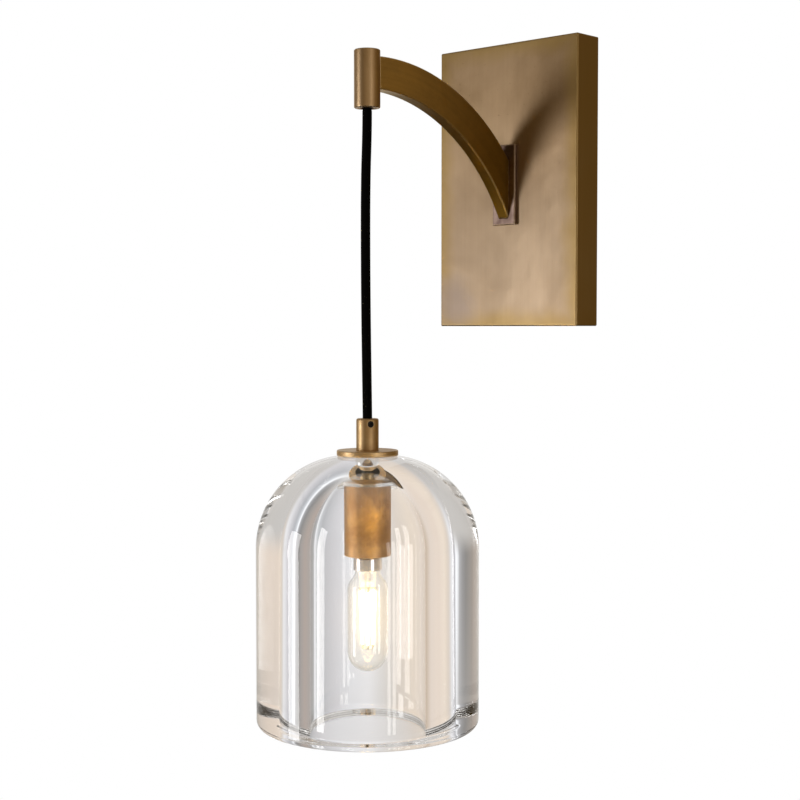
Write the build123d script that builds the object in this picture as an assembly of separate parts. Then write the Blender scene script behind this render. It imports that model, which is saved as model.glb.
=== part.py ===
"""Hanging pendant wall sconce: a wall plate, a curved arm and a thick glass bell on a fabric cord.

Millimetres, +Z up. The origin is the centre of the wall plate's back, on the wall plane.
The lamp reaches out along -Y, and +X is to the right when it is seen from the front.
"""
import os
from math import acos, asin, atan2, cos, degrees, radians, sin

from build123d import *

# ---------------------------------------------------------------- wall plate and its strap
PLATE_WIDTH = 120.0
PLATE_HEIGHT = 193.0
PLATE_DEPTH = 23.0
PLATE_WALL = 2.0
PLATE_BEVEL = 0.8
PLATE_CORNER_ROUND = 1.0  # along the four edges that run back to the wall

STRAP_WIDTH = 30.0
STRAP_THICKNESS = 2.0
LUG_WIDTH = 20.0
LUG_THICKNESS = 2.5
LUG_REACH = 14.0
SEAT_GAP = 0.3            # between a lug and the plate's wall
FIXING_SPACING = 120.0    # between the two slots for the wall screws
FIXING_SLOT_WIDTH = 5.0
FIXING_SLOT_LENGTH = 20.0
CABLE_HOLE_RADIUS = 8.0   # where the mains cable comes out of the wall
CABLE_HOLE_Z = 30.0

# ---------------------------------------------------------------- fasteners
THREAD_CLEARANCE = 0.05   # radial, between a screw and the hole that it is cut into
SCREW_CLEARANCE = 0.2     # radial, where a screw passes freely
M4_RADIUS = 2.0
M3_RADIUS = 1.5
M25_RADIUS = 1.25
PAN_HEAD_RADIUS = 3.5
PAN_HEAD_HEIGHT = 2.4
CSK_HEAD_RADIUS = 2.75
CSK_HEAD_HEIGHT = 1.65
COVER_SCREW_LENGTH = 6.0
COVER_SCREW_SETBACK = 5.0  # behind the front edge of the lug
EARTH_SCREW_DROP = 6.0    # below the terminal block
SCREW_SOCKET_WIDTH = 2.0  # hexagon socket in the grip's screw, across flats
SCREW_SOCKET_DEPTH = 1.5
HEADLESS_INSET = 0.3      # a headless screw lies this far inside its hole's mouth

# ---------------------------------------------------------------- arm
REACH = 160.0             # from the wall to the middle of the cord
FOOT_WIDTH = 19.4
FOOT_HEIGHT = 54.5
FOOT_THICKNESS = 3.0
FOOT_SCREW_TO_LINING = 1.0  # between a foot screw's head and the lining of the lead slot
FOOT_SCREW_DEPTH = 2.6
EDGE_ROUND = 0.5          # hand-finished edges of the brass parts

ARM_WIDTH = 9.0
ARM_WALL = 1.5
ARM_BELOW_TUBE_TOP = 3.3  # from the tube's top to the crest of the arm's upper edge
ARM_DEPTH_AT_TUBE = 20.5  # between the crests of its upper and lower edge
ARM_TOP_CREST = 15.3      # from the cord's axis to the upper edge's crest
ARM_LOW_CREST = 8.7       # from the cord's axis to the lower edge's crest
ARM_TOP_AT_FOOT = 17.2    # height of the upper edge where it meets the foot
ARM_LOW_AT_FOOT = -23.0   # height of the lower edge where it meets the foot
BRAZE_GAP = 0.05          # between the arm's end and the tube

TUBE_RADIUS = 8.2
TUBE_BORE_RADIUS = 6.3
TUBE_TOP_THICKNESS = 3.0
TUBE_LENGTH = 36.0
TUBE_LOW_Z = 38.4         # the cord hangs from here

# ---------------------------------------------------------------- cord
CORD_RADIUS = 3.0
CORD_LENGTH = 204.4       # from the tube's mouth to the end inside the grip
BUSH_LENGTH = 10.0
BUSH_MOUTH_CLEARANCE = 1.4  # radial, so that the cord can lean at the tube's mouth
BUSH_MOUTH_DEPTH = 5.0
BUSH_FIT = 0.05
CORD_FIT = 0.1            # radial, between the cord and a metal bore
CORD_TAIL_RISE = 2.0      # the cord stands this far above its bush
KNUCKLE_FIT = 0.05        # between the cord's bending ball and its cup
KNUCKLE_CUP_DROP = 1.5    # the cup's lip lies this far below the ball's centre

# ---------------------------------------------------------------- leads in the arm
LEAD_RADIUS = 0.75
LEAD_PITCH = 1.8
LEAD_UPRIGHT = 1.55       # from the cord's end to the turn into the arm
LEAD_TURN_OUT = 12.0      # radius of the middle lead's turn from the arm into the foot
LEAD_SLOT_WIDTH = 4.0
LEAD_SLOT_MARGIN = 1.4    # above and below the stack of leads
GROMMET_WALL = 1.0
GROMMET_LIP = 1.2
LEAD_BEND = 4.0

# ---------------------------------------------------------------- terminal block
POLE_PITCH = 10.0
BLOCK_WIDTH = 31.0
BLOCK_HEIGHT = 20.0
BLOCK_DEPTH = 13.0
BLOCK_TOP_Z = -12.0
PORT_DEPTH = 7.0          # of the ports behind the strap's front face
PORT_RADIUS = 2.2
INSERT_BORE_RADIUS = 0.95
POLE_SCREW_RADIUS = 1.2
POLE_SCREW_POCKET = 1.8
POLE_SCREW_INSET = 3.8    # from the block's top and bottom
POLE_SCREW_LENGTH = 4.0
LEAD_IN_BLOCK = 7.0
BLOCK_SCREW_HEAD_RADIUS = 2.2
BLOCK_SCREW_HEAD_HEIGHT = 1.6
WIRE_FIT = 0.1

# ---------------------------------------------------------------- grip, disc and glass
GRIP_RADIUS = 7.05
GRIP_LENGTH = 19.9
GRIP_LIP_ROUND = 1.2
GRIP_SCREW_DROP = 3.4     # from the grip's top to its screw
GRIP_SCREW_ANGLE = 61.5   # degrees from the front towards +X
CORD_IN_GRIP = 11.6
DISC_RADIUS = 19.3
DISC_THICKNESS = 3.4
DISC_BEVEL = 0.4
GASKET_THICKNESS = 0.9
NIPPLE_RADIUS = 5.0
NIPPLE_BORE_RADIUS = 3.4
NIPPLE_GAP = 0.5          # between the cord's end and the nipple
CORD_END_GAP = 0.3        # between the cord's end and the bare cores

GLASS_RADIUS = 70.0
GLASS_HEIGHT = 170.3
GLASS_TOP_FLAT = 12.1     # radius of the flat on top, where the dome's round begins
GLASS_BORE_RADIUS = 36.5
GLASS_DOME_RISE = 40.0    # height of the half-oval dome that closes the bore
DOME_STEPS = 8            # points along the dome's curve
GLASS_CROWN = 19.8        # thickness at the top
GLASS_NECK_RADIUS = 6.5
GLASS_RIM_OUTER_ROUND = 5.0
GLASS_RIM_INNER_ROUND = 2.0
SEAT_RADIUS = 19.0
SEAT_THICKNESS = 4.6      # at the axis, down to the cup
SEAT_LIP = 1.2            # thickness of its thin edge outside the cup

# ---------------------------------------------------------------- lamp holder
CUP_RADIUS = 14.67
CUP_WALL = 1.2
CUP_TOP = 1.5
CUP_HEIGHT = 37.9
STIRRUP_WIDTH = 12.5
STIRRUP_TOP = 1.2
STIRRUP_LEG = 1.0
STIRRUP_DROP = 20.0       # length of its legs
NUT_ACROSS_FLATS = 14.0
NUT_THICKNESS = 3.0
NIPPLE_BELOW_NUT = 1.3
HOLDER_FLAT_DEPTH = 0.4   # of the flats that the stirrup grips
RIVET_TO_CUP = 1.27       # between a rivet's head and the cup's wall
HOLDER_DROP = 5.5         # from the nipple's end to the holder's top
HOLDER_CEILING = 8.2
HOLDER_ABOVE_RIM = 0.6    # the holder stops this far inside the cup
SHELL_WALL = 0.5
SHELL_CLEARANCE = 0.3     # around the lamp's thread
SHELL_FIT = 0.05
CONTACT_RADIUS = 3.0
CONTACT_THICKNESS = 1.2
CONTACT_PIN_RADIUS = 0.8
CONTACT_PIN_LENGTH = 4.0
RIVET_RADIUS = 1.2
RIVET_HEAD_RADIUS = 2.0
RIVET_HEAD_HEIGHT = 0.6
RIVET_LENGTH = 2.4
RIVET_BELOW_TOP = 5.0
CORE_OFFSET = 1.7         # of each core from the nipple's axis
CORE_IN_HOLDER = 3.0

# ---------------------------------------------------------------- lamp, E14 cap and T25 glass
LAMP_CAP_HEIGHT = 23.5
LAMP_THREAD_RADIUS = 6.95
LAMP_THREAD_LENGTH = 13.5
LAMP_COLLAR_RADIUS = 9.0
LAMP_COLLAR_HEIGHT = 6.7
LAMP_CAP_WALL = 0.6
LAMP_CONTACT_RADIUS = 2.4
LAMP_CONTACT_HEIGHT = 1.2
LAMP_CONTACT_GAP = 0.3
LAMP_CAP_HOLE_MARGIN = 1.2  # around the contact, where the insulator shows
LAMP_NECK_RADIUS = 7.9
LAMP_GLASS_RADIUS = 12.8
LAMP_GLASS_WALL = 0.7
LAMP_GLASS_LENGTH = 63.0  # below the cap
LAMP_SHOULDER_LENGTH = 12.3
LAMP_GLASS_IN_CAP = 4.0
STEM_RADIUS = 2.6
STEM_TIP_RADIUS = 1.3
STEM_LENGTH = 14.0
STEM_FLARE_RISE = 1.5     # the stem's wide foot begins this far inside the cap
FILAMENT_COUNT = 4
FILAMENT_RADIUS = 0.9
FILAMENT_LENGTH = 37.0
FILAMENT_IN_SHOULDER = 1.0  # the strips reach this far up into the swelling glass
FILAMENT_CIRCLE_TOP = 5.0
FILAMENT_CIRCLE_LOW = 3.2
FILAMENT_WIRE_RADIUS = 0.3

# ---------------------------------------------------------------- levels worked out from the sizes
FRONT_Y = -PLATE_DEPTH
FOOT_FRONT_Y = FRONT_Y - FOOT_THICKNESS
TUBE_TOP_Z = TUBE_LOW_Z + TUBE_LENGTH
ARM_TOP_CREST_Z = TUBE_TOP_Z - ARM_BELOW_TUBE_TOP
ARM_LOW_CREST_Z = ARM_TOP_CREST_Z - ARM_DEPTH_AT_TUBE
BUSH_TOP_Z = TUBE_LOW_Z + BUSH_LENGTH
CORD_TAIL_TOP_Z = BUSH_TOP_Z + CORD_TAIL_RISE
CORD_END_Z = TUBE_LOW_Z - CORD_LENGTH
GRIP_TOP_Z = CORD_END_Z + CORD_IN_GRIP
GRIP_LOW_Z = GRIP_TOP_Z - GRIP_LENGTH
DISC_LOW_Z = GRIP_LOW_Z - DISC_THICKNESS
GLASS_LOW_Z = DISC_LOW_Z - GLASS_HEIGHT
CROWN_LOW_Z = DISC_LOW_Z - GLASS_CROWN
DOME_LOW_Z = CROWN_LOW_Z - GLASS_DOME_RISE
CUP_TOP_Z = CROWN_LOW_Z - SEAT_THICKNESS
CUP_CEILING_Z = CUP_TOP_Z - CUP_TOP
CUP_LOW_Z = CUP_TOP_Z - CUP_HEIGHT
STIRRUP_LOW_Z = CUP_CEILING_Z - STIRRUP_TOP
NUT_LOW_Z = STIRRUP_LOW_Z - NUT_THICKNESS
NIPPLE_TOP_Z = CORD_END_Z - NIPPLE_GAP
NIPPLE_LOW_Z = NUT_LOW_Z - NIPPLE_BELOW_NUT
HOLDER_TOP_Z = NIPPLE_LOW_Z - HOLDER_DROP
HOLDER_BORE_TOP_Z = HOLDER_TOP_Z - HOLDER_CEILING
HOLDER_LOW_Z = CUP_LOW_Z + HOLDER_ABOVE_RIM
HOLDER_FLAT = CUP_RADIUS - CUP_WALL - RIVET_TO_CUP - RIVET_HEAD_HEIGHT - STIRRUP_LEG
HOLDER_RADIUS = HOLDER_FLAT + HOLDER_FLAT_DEPTH
LAMP_TIP_Z = HOLDER_BORE_TOP_Z - CONTACT_THICKNESS - LAMP_CONTACT_GAP
LAMP_CAP_LOW_Z = LAMP_TIP_Z - LAMP_CAP_HEIGHT
LAMP_GLASS_LOW_Z = LAMP_CAP_LOW_Z - LAMP_GLASS_LENGTH
COVER_SCREW_Y = COVER_SCREW_SETBACK - LUG_REACH
EARTH_SCREW_Z = BLOCK_TOP_Z - BLOCK_HEIGHT - EARTH_SCREW_DROP
PORT_Y = -STRAP_THICKNESS - PORT_DEPTH
BLOCK_FRONT_Y = -STRAP_THICKNESS - BLOCK_DEPTH
POLE_XS = (POLE_PITCH, -POLE_PITCH, 0.0)
SHELL_INNER_RADIUS = LAMP_THREAD_RADIUS + SHELL_CLEARANCE
SHELL_OUTER_RADIUS = SHELL_INNER_RADIUS + SHELL_WALL

UPRIGHT = (Align.CENTER, Align.CENTER, Align.MIN)


# ---------------------------------------------------------------- helpers
def rod(radius, z_low, z_high, x=0.0, y=-REACH):
    """Upright cylinder, on the cord's axis unless another place is given."""
    return Pos(x, y, z_low) * Cylinder(radius, z_high - z_low, align=UPRIGHT)


def ring(outer, inner, z_low, z_high):
    """Upright tube on the cord's axis."""
    return rod(outer, z_low, z_high) - rod(inner, z_low, z_high)


def hexagon(across_flats, z_low, z_high):
    """Upright hexagonal bar on the cord's axis."""
    outline = RegularPolygon(across_flats / 2, 6, major_radius=False)
    return Pos(0, -REACH, z_low) * extrude(outline, z_high - z_low)


def rod_along(radius, start, end):
    """Cylinder from one point to another."""
    start, end = Vector(start), Vector(end)
    axis = end - start
    return Plane(origin=start, z_dir=axis) * Cylinder(radius, axis.length, align=UPRIGHT)


def block(x_span, y_span, z_span):
    """Box between two values on each axis."""
    middle = [(low + high) / 2 for low, high in (x_span, y_span, z_span)]
    size = [abs(high - low) for low, high in (x_span, y_span, z_span)]
    return Pos(*middle) * Box(*size)


def turned(outline):
    """Solid turned about the cord's axis from a closed (radius, z) outline."""
    return Pos(0, -REACH, 0) * revolve(Plane.XZ * make_face(outline), Axis.Z)


def wire_along(radius, path):
    """Round wire swept along a path, square to its start."""
    profile = Plane(origin=path @ 0, z_dir=path % 0) * Circle(radius)
    return sweep(profile, path=path)


def save(node, *solids):
    """Write one named piece, or one group of separate solids."""
    shape = solids[0] if len(solids) == 1 else Compound(children=[s.solid() for s in solids])
    export_step(shape, f"parts/{node}.step")


# ---------------------------------------------------------------- wall side
def lead_slot_span():
    """Lowest and highest z of the slot that the leads use in the foot and the plate."""
    middle = lead_exit_z(0)
    half = LEAD_PITCH + LEAD_RADIUS + LEAD_SLOT_MARGIN
    return middle - half, middle + half


def foot_screw_z():
    """Height of the upper foot screw, clear of the slot's lining. The lower one mirrors it."""
    return lead_slot_span()[1] + 2 * GROMMET_WALL + FOOT_SCREW_TO_LINING + PAN_HEAD_RADIUS


def lead_slot(margin, y_span):
    """Space of the lead slot, grown all round by a margin."""
    low, high = lead_slot_span()
    half_width = LEAD_SLOT_WIDTH / 2 + margin
    return block((-half_width, half_width), y_span, (low - margin, high + margin))


def cover_screw(side, clearance=0.0, thread=False):
    """Countersunk screw through the plate's top or bottom wall, or the space for it."""
    z_face = side * PLATE_HEIGHT / 2
    z_neck = z_face - side * CSK_HEAD_HEIGHT
    z_tip = z_face - side * COVER_SCREW_LENGTH
    shank = rod_along(M3_RADIUS + clearance, (0, COVER_SCREW_Y, z_face), (0, COVER_SCREW_Y, z_tip))
    if thread:
        return shank
    head_place = Plane(origin=(0, COVER_SCREW_Y, z_neck), z_dir=(0, 0, side))
    head = head_place * Cone(
        M3_RADIUS + clearance, CSK_HEAD_RADIUS + clearance, CSK_HEAD_HEIGHT, align=UPRIGHT
    )
    return shank + head


def backplate_cover():
    """Shallow box with its open back on the wall."""
    half_width, half_height = PLATE_WIDTH / 2, PLATE_HEIGHT / 2
    shell = block((-half_width, half_width), (FRONT_Y, 0), (-half_height, half_height))
    shell = fillet(shell.edges().filter_by(Axis.Y), PLATE_CORNER_ROUND)
    shell = chamfer(shell.faces().sort_by(Axis.Y)[0].edges(), PLATE_BEVEL)
    inner_width, inner_height = half_width - PLATE_WALL, half_height - PLATE_WALL
    shell -= block(
        (-inner_width, inner_width), (FRONT_Y + PLATE_WALL, 0), (-inner_height, inner_height)
    )
    shell -= lead_slot(GROMMET_WALL, (FRONT_Y, FRONT_Y + PLATE_WALL))
    for side in (-1, 1):
        shell -= rod_along(
            M4_RADIUS + SCREW_CLEARANCE,
            (0, FRONT_Y, side * foot_screw_z()),
            (0, FRONT_Y + PLATE_WALL, side * foot_screw_z()),
        )
        shell -= cover_screw(side, SCREW_CLEARANCE)
    return shell


def block_screw_places():
    """Middle of each screw that holds the terminal block, between two poles."""
    z = BLOCK_TOP_Z - BLOCK_HEIGHT / 2
    return [(side * POLE_PITCH / 2, z) for side in (-1, 1)]


def wall_bracket():
    """Steel strap flat on the wall, with a lug turned forward at each end."""
    half_width = STRAP_WIDTH / 2
    half_height = PLATE_HEIGHT / 2 - PLATE_WALL - SEAT_GAP
    strap = block((-half_width, half_width), (-STRAP_THICKNESS, 0), (-half_height, half_height))
    for side in (-1, 1):
        strap += block(
            (-LUG_WIDTH / 2, LUG_WIDTH / 2),
            (-LUG_REACH, -STRAP_THICKNESS),
            sorted((side * half_height, side * (half_height - LUG_THICKNESS))),
        )
        strap -= cover_screw(side, THREAD_CLEARANCE, thread=True)
        slot = SlotOverall(FIXING_SLOT_LENGTH, FIXING_SLOT_WIDTH, rotation=90)
        place = Plane.XZ.offset(-STRAP_THICKNESS) * Pos(0, side * FIXING_SPACING / 2)
        strap -= extrude(place * slot, 2 * STRAP_THICKNESS, both=True)
    holes = [(0, CABLE_HOLE_Z, CABLE_HOLE_RADIUS), (0, EARTH_SCREW_Z, M4_RADIUS + THREAD_CLEARANCE)]
    holes += [(x, z, M25_RADIUS + THREAD_CLEARANCE) for x, z in block_screw_places()]
    for x, z, radius in holes:
        strap -= rod_along(radius, (x, -STRAP_THICKNESS, z), (x, 0, z))
    return strap


def pan_screw(radius, head_radius, head_height, seat, tip):
    """Screw along Y with its head standing off its seat, away from its tip."""
    away = (Vector(seat) - Vector(tip)).normalized()
    shank = rod_along(radius, seat, tip)
    return shank + rod_along(head_radius, seat, Vector(seat) + away * head_height)


def foot_screw(side):
    """Screw from inside the plate into the arm's foot."""
    seat_y = FRONT_Y + PLATE_WALL
    z = side * foot_screw_z()
    tip = (0, FRONT_Y - FOOT_SCREW_DEPTH + SEAT_GAP, z)
    return pan_screw(M4_RADIUS, PAN_HEAD_RADIUS, PAN_HEAD_HEIGHT, (0, seat_y, z), tip)


def arm_foot():
    """Block between the plate and the arm."""
    foot = block(
        (-FOOT_WIDTH / 2, FOOT_WIDTH / 2),
        (FOOT_FRONT_Y, FRONT_Y),
        (-FOOT_HEIGHT / 2, FOOT_HEIGHT / 2),
    )
    foot = chamfer(foot.faces().sort_by(Axis.Y)[0].edges(), EDGE_ROUND)
    foot -= lead_slot(0, (FOOT_FRONT_Y, FRONT_Y))
    for side in (-1, 1):
        z = side * foot_screw_z()
        foot -= rod_along(
            M4_RADIUS + THREAD_CLEARANCE, (0, FRONT_Y, z), (0, FRONT_Y - FOOT_SCREW_DEPTH, z)
        )
    return foot


def edge_arc(crest_offset, crest_z, foot_z):
    """(y, z) centre and radius of an edge of the arm: level at its crest, it drops to the foot."""
    run = REACH - crest_offset + FOOT_FRONT_Y
    drop = crest_z - foot_z
    radius = (run**2 + drop**2) / (2 * drop)
    return (crest_offset - REACH, crest_z - radius), radius


def arm_edges():
    """Arcs of the arm's upper and lower edge."""
    upper = edge_arc(ARM_TOP_CREST, ARM_TOP_CREST_Z, ARM_TOP_AT_FOOT)
    lower = edge_arc(ARM_LOW_CREST, ARM_LOW_CREST_Z, ARM_LOW_AT_FOOT)
    return upper, lower


def arm_profile(wall):
    """Side view of the arm between its two arcs, drawn in by a wall thickness."""
    (top_centre, top_radius), (low_centre, low_radius) = arm_edges()
    upper = Pos(*top_centre) * Circle(top_radius - wall)
    lower = Pos(*low_centre) * Circle(low_radius + wall)
    length, height = REACH + FOOT_FRONT_Y, 2 * TUBE_TOP_Z
    window = Pos((FOOT_FRONT_Y - REACH) / 2, 0) * Rectangle(length, height)
    faces = (window & upper) - lower
    return faces.faces().sort_by(SortBy.AREA)[-1]


def curved_arm():
    """Hollow flat bar that drops in a quarter round from the tube to the foot."""
    bar = extrude(Plane.YZ * arm_profile(0), ARM_WIDTH / 2, both=True)
    long_edges = bar.edges().filter_by(GeomType.CIRCLE)
    bar = chamfer(long_edges, EDGE_ROUND)
    bar -= extrude(Plane.YZ * arm_profile(ARM_WALL), ARM_WIDTH / 2 - ARM_WALL, both=True)
    bar -= rod(TUBE_RADIUS + BRAZE_GAP, -TUBE_TOP_Z, 2 * TUBE_TOP_Z)
    return bar.solids().sort_by(SortBy.VOLUME)[-1]


def bush_screw(clearance=0.0, inset=HEADLESS_INSET):
    """Headless screw from the hidden side of the tube to the cord, or its hole."""
    z = BUSH_TOP_Z - (BUSH_LENGTH - BUSH_MOUTH_DEPTH) / 2
    start = (-TUBE_RADIUS + inset, -REACH, z)
    end = (-CORD_RADIUS - BUSH_FIT, -REACH, z)
    return rod_along(M3_RADIUS + clearance, start, end)


def arm_end_tube():
    """Closed-topped tube at the end of the arm that the cord hangs from."""
    tube = rod(TUBE_RADIUS, TUBE_LOW_Z, TUBE_TOP_Z)
    tube = chamfer(tube.edges().filter_by(GeomType.CIRCLE), EDGE_ROUND)
    tube -= rod(TUBE_BORE_RADIUS, TUBE_LOW_Z, TUBE_TOP_Z - TUBE_TOP_THICKNESS)
    lead_z = lead_path_top_z(0)
    half = LEAD_PITCH + LEAD_RADIUS + LEAD_SLOT_MARGIN
    half_width = ARM_WIDTH / 2 - ARM_WALL
    x_span, y_span = (-half_width, half_width), (-REACH, -REACH + TUBE_RADIUS)
    tube -= block(x_span, y_span, (lead_z - half, lead_z + half))
    tube -= bush_screw(THREAD_CLEARANCE, inset=0.0)
    return tube


def cord_bush():
    """Turned bush in the tube's mouth that the cord is clamped in."""
    bush = ring(TUBE_BORE_RADIUS - BUSH_FIT, CORD_RADIUS + CORD_FIT, TUBE_LOW_Z, BUSH_TOP_Z)
    mouth_radius = CORD_RADIUS + BUSH_MOUTH_CLEARANCE
    bush -= rod(mouth_radius, TUBE_LOW_Z, TUBE_LOW_Z + BUSH_MOUTH_DEPTH)
    bush -= bush_screw(THREAD_CLEARANCE, inset=0.0)
    return bush


# ---------------------------------------------------------------- leads
def lead_arc_centre():
    """Middle of the arc that the leads follow, between the arm's two edges."""
    (upper, _), (lower, _) = arm_edges()
    return (upper[0] + lower[0]) / 2, (upper[1] + lower[1]) / 2


def lead_arc_radius(order):
    """Radius of one lead's long arc: order is -1 for the lowest lead, 1 for the highest."""
    (_, upper), (_, lower) = arm_edges()
    return (upper + lower) / 2 + order * LEAD_PITCH


def lead_turn():
    """Angle, in radians, that the leads follow the arm before they turn level into the foot."""
    run = FOOT_FRONT_Y - lead_arc_centre()[0]
    return asin(run / (lead_arc_radius(0) + LEAD_TURN_OUT))


def lead_path_top_z(order):
    """Height of a lead where it runs level from the tube into the arm."""
    return lead_arc_centre()[1] + lead_arc_radius(order)


def lead_exit_z(order):
    """Height of a lead where it runs level through the foot."""
    level_share = cos(lead_turn())
    end_z = lead_arc_centre()[1] + lead_arc_radius(order) * level_share
    return end_z - (LEAD_TURN_OUT - order * LEAD_PITCH) * (1 - level_share)


def lead_in_arm(order):
    """Path of one lead from the cord's end to the inside of the plate, in the plane x = 0."""
    turn_z = CORD_TAIL_TOP_Z + LEAD_UPRIGHT
    rise = lead_path_top_z(order) - turn_z
    centre_y = lead_arc_centre()[0]
    turn = degrees(lead_turn())
    start = (-REACH - order * LEAD_PITCH, CORD_TAIL_TOP_Z)
    upright_end = (start[0], turn_z)
    up = Line(start, upright_end)
    turn_in = JernArc(up @ 1, (0, 1), rise, -90)
    level = Line(turn_in @ 1, (centre_y, lead_path_top_z(order)))
    along = JernArc(level @ 1, (1, 0), lead_arc_radius(order), -turn)
    turn_out = JernArc(along @ 1, along % 1, LEAD_TURN_OUT - order * LEAD_PITCH, turn)
    return [up, turn_in, level, along, turn_out]


def lead(order, pole_x):
    """One insulated lead from the cord through the arm to its pole of the terminal block."""
    flat = [Plane.YZ * edge for edge in lead_in_arm(order)]
    exit_point = flat[-1] @ 1
    inner_y = FRONT_Y + PLATE_WALL + GROMMET_LIP + LEAD_BEND
    last_z = BLOCK_TOP_Z - LEAD_IN_BLOCK
    if pole_x == 0:
        corners = [exit_point, (0, PORT_Y, exit_point.Z), (0, PORT_Y, last_z)]
    else:
        spread_z = exit_point.Z - LEAD_PITCH - LEAD_BEND
        corners = [
            exit_point,
            (0, inner_y, exit_point.Z),
            (pole_x, PORT_Y, spread_z),
            (pole_x, PORT_Y, last_z),
        ]
    fan = FilletPolyline(*corners, radius=LEAD_BEND)
    return wire_along(LEAD_RADIUS, Wire([*flat, *fan.edges()]))


def wire_grommet():
    """Rubber lining of the slot in the plate's front, with a lip inside."""
    low, high = lead_slot_span()
    y_back = FRONT_Y + PLATE_WALL
    body = lead_slot(GROMMET_WALL - BUSH_FIT, (FRONT_Y, y_back))
    body += lead_slot(2 * GROMMET_WALL, (y_back, y_back + GROMMET_LIP))
    return body - lead_slot(0, (FRONT_Y, y_back + GROMMET_LIP))


# ---------------------------------------------------------------- terminal block
def pole_screw_levels():
    """Height of the upper and the lower clamp screw of each pole."""
    return BLOCK_TOP_Z - POLE_SCREW_INSET, BLOCK_TOP_Z - BLOCK_HEIGHT + POLE_SCREW_INSET


def pole_screws(clearance=0.0, length=POLE_SCREW_LENGTH):
    """Headless clamp screws of all the poles, or their holes."""
    tip_y = PORT_Y - LEAD_RADIUS - WIRE_FIT
    radius = POLE_SCREW_RADIUS + clearance
    return [
        rod_along(radius, (x, tip_y - length, z), (x, tip_y, z))
        for x in POLE_XS
        for z in pole_screw_levels()
    ]


def terminal_inserts():
    """Brass sleeves that join the lamp's leads to the mains wires."""
    low, high = BLOCK_TOP_Z - BLOCK_HEIGHT + SEAT_GAP, BLOCK_TOP_Z - SEAT_GAP
    sleeves = []
    for x in POLE_XS:
        sleeve = rod(PORT_RADIUS - BUSH_FIT, low, high, x, PORT_Y)
        sleeve -= rod(INSERT_BORE_RADIUS, low, high, x, PORT_Y)
        for hole in pole_screws(THREAD_CLEARANCE, BLOCK_DEPTH):
            sleeve -= hole
        sleeves.append(sleeve)
    return sleeves


def terminal_block():
    """Three-pole block on the strap: live, neutral and earth."""
    body = block(
        (-BLOCK_WIDTH / 2, BLOCK_WIDTH / 2),
        (BLOCK_FRONT_Y, -STRAP_THICKNESS),
        (BLOCK_TOP_Z - BLOCK_HEIGHT, BLOCK_TOP_Z),
    )
    for x in POLE_XS:
        body -= rod(PORT_RADIUS, BLOCK_TOP_Z - BLOCK_HEIGHT, BLOCK_TOP_Z, x, PORT_Y)
        for z in pole_screw_levels():
            body -= rod_along(POLE_SCREW_POCKET, (x, BLOCK_FRONT_Y, z), (x, PORT_Y, z))
    for x, z in block_screw_places():
        body -= rod_along(M25_RADIUS + WIRE_FIT, (x, BLOCK_FRONT_Y, z), (x, -STRAP_THICKNESS, z))
    return body


def block_screws():
    """Two screws that hold the terminal block on the strap."""
    radius, height = BLOCK_SCREW_HEAD_RADIUS, BLOCK_SCREW_HEAD_HEIGHT
    return [
        pan_screw(M25_RADIUS, radius, height, (x, BLOCK_FRONT_Y, z), (x, -SEAT_GAP, z))
        for x, z in block_screw_places()
    ]


def earth_screw():
    """Screw on the strap for the building's earth wire."""
    seat = (0, -STRAP_THICKNESS, EARTH_SCREW_Z)
    tip = (0, -SEAT_GAP, EARTH_SCREW_Z)
    return pan_screw(M4_RADIUS, PAN_HEAD_RADIUS, PAN_HEAD_HEIGHT, seat, tip)


# ---------------------------------------------------------------- cord
def cord_tail():
    """Fixed end of the cord in its bush, above the ball that it bends about."""
    return rod(CORD_RADIUS, TUBE_LOW_Z + CORD_RADIUS + KNUCKLE_FIT, CORD_TAIL_TOP_Z)


def cord_knuckle():
    """Ball inside the cord, at the mouth of the tube, that the cord bends about."""
    return Pos(0, -REACH, TUBE_LOW_Z) * Sphere(CORD_RADIUS)


def cord():
    """Taut fabric cord from the arm to the inside of the grip."""
    run = rod(CORD_RADIUS, CORD_END_Z, TUBE_LOW_Z - KNUCKLE_CUP_DROP)
    return run - Pos(0, -REACH, TUBE_LOW_Z) * Sphere(CORD_RADIUS + KNUCKLE_FIT)


# ---------------------------------------------------------------- grip, disc and glass
def grip_screw_place(reach):
    """Point on the grip screw's line, at a distance from the cord's axis, and its way out."""
    angle = radians(GRIP_SCREW_ANGLE)
    out = Vector(sin(angle), -cos(angle), 0)
    return Vector(0, -REACH, GRIP_TOP_Z - GRIP_SCREW_DROP) + out * reach, out


def grip_screw_hole():
    """Threaded hole of the grip's screw."""
    start, _ = grip_screw_place(GRIP_RADIUS)
    end, _ = grip_screw_place(CORD_RADIUS + CORD_FIT)
    return rod_along(M4_RADIUS + THREAD_CLEARANCE, start, end)


def grip_screw():
    """Headless screw with a hexagon socket that pinches the cord in the grip."""
    start, out = grip_screw_place(GRIP_RADIUS - HEADLESS_INSET)
    end, _ = grip_screw_place(CORD_RADIUS + CORD_FIT)
    outline = RegularPolygon(SCREW_SOCKET_WIDTH / 2, 6, major_radius=False)
    socket = extrude(Plane(origin=start, z_dir=-out) * outline, SCREW_SOCKET_DEPTH)
    return rod_along(M4_RADIUS, start, end) - socket


def cord_grip():
    """Turned brass sleeve that holds the cord above and the nipple below."""
    sleeve = rod(GRIP_RADIUS, GRIP_LOW_Z, GRIP_TOP_Z)
    sleeve = fillet(sleeve.edges().filter_by(GeomType.CIRCLE).sort_by(Axis.Z)[-1], GRIP_LIP_ROUND)
    sleeve -= rod(CORD_RADIUS + CORD_FIT, CORD_END_Z, GRIP_TOP_Z)
    sleeve -= rod(NIPPLE_RADIUS + THREAD_CLEARANCE, GRIP_LOW_Z, CORD_END_Z)
    return sleeve - grip_screw_hole()


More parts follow.
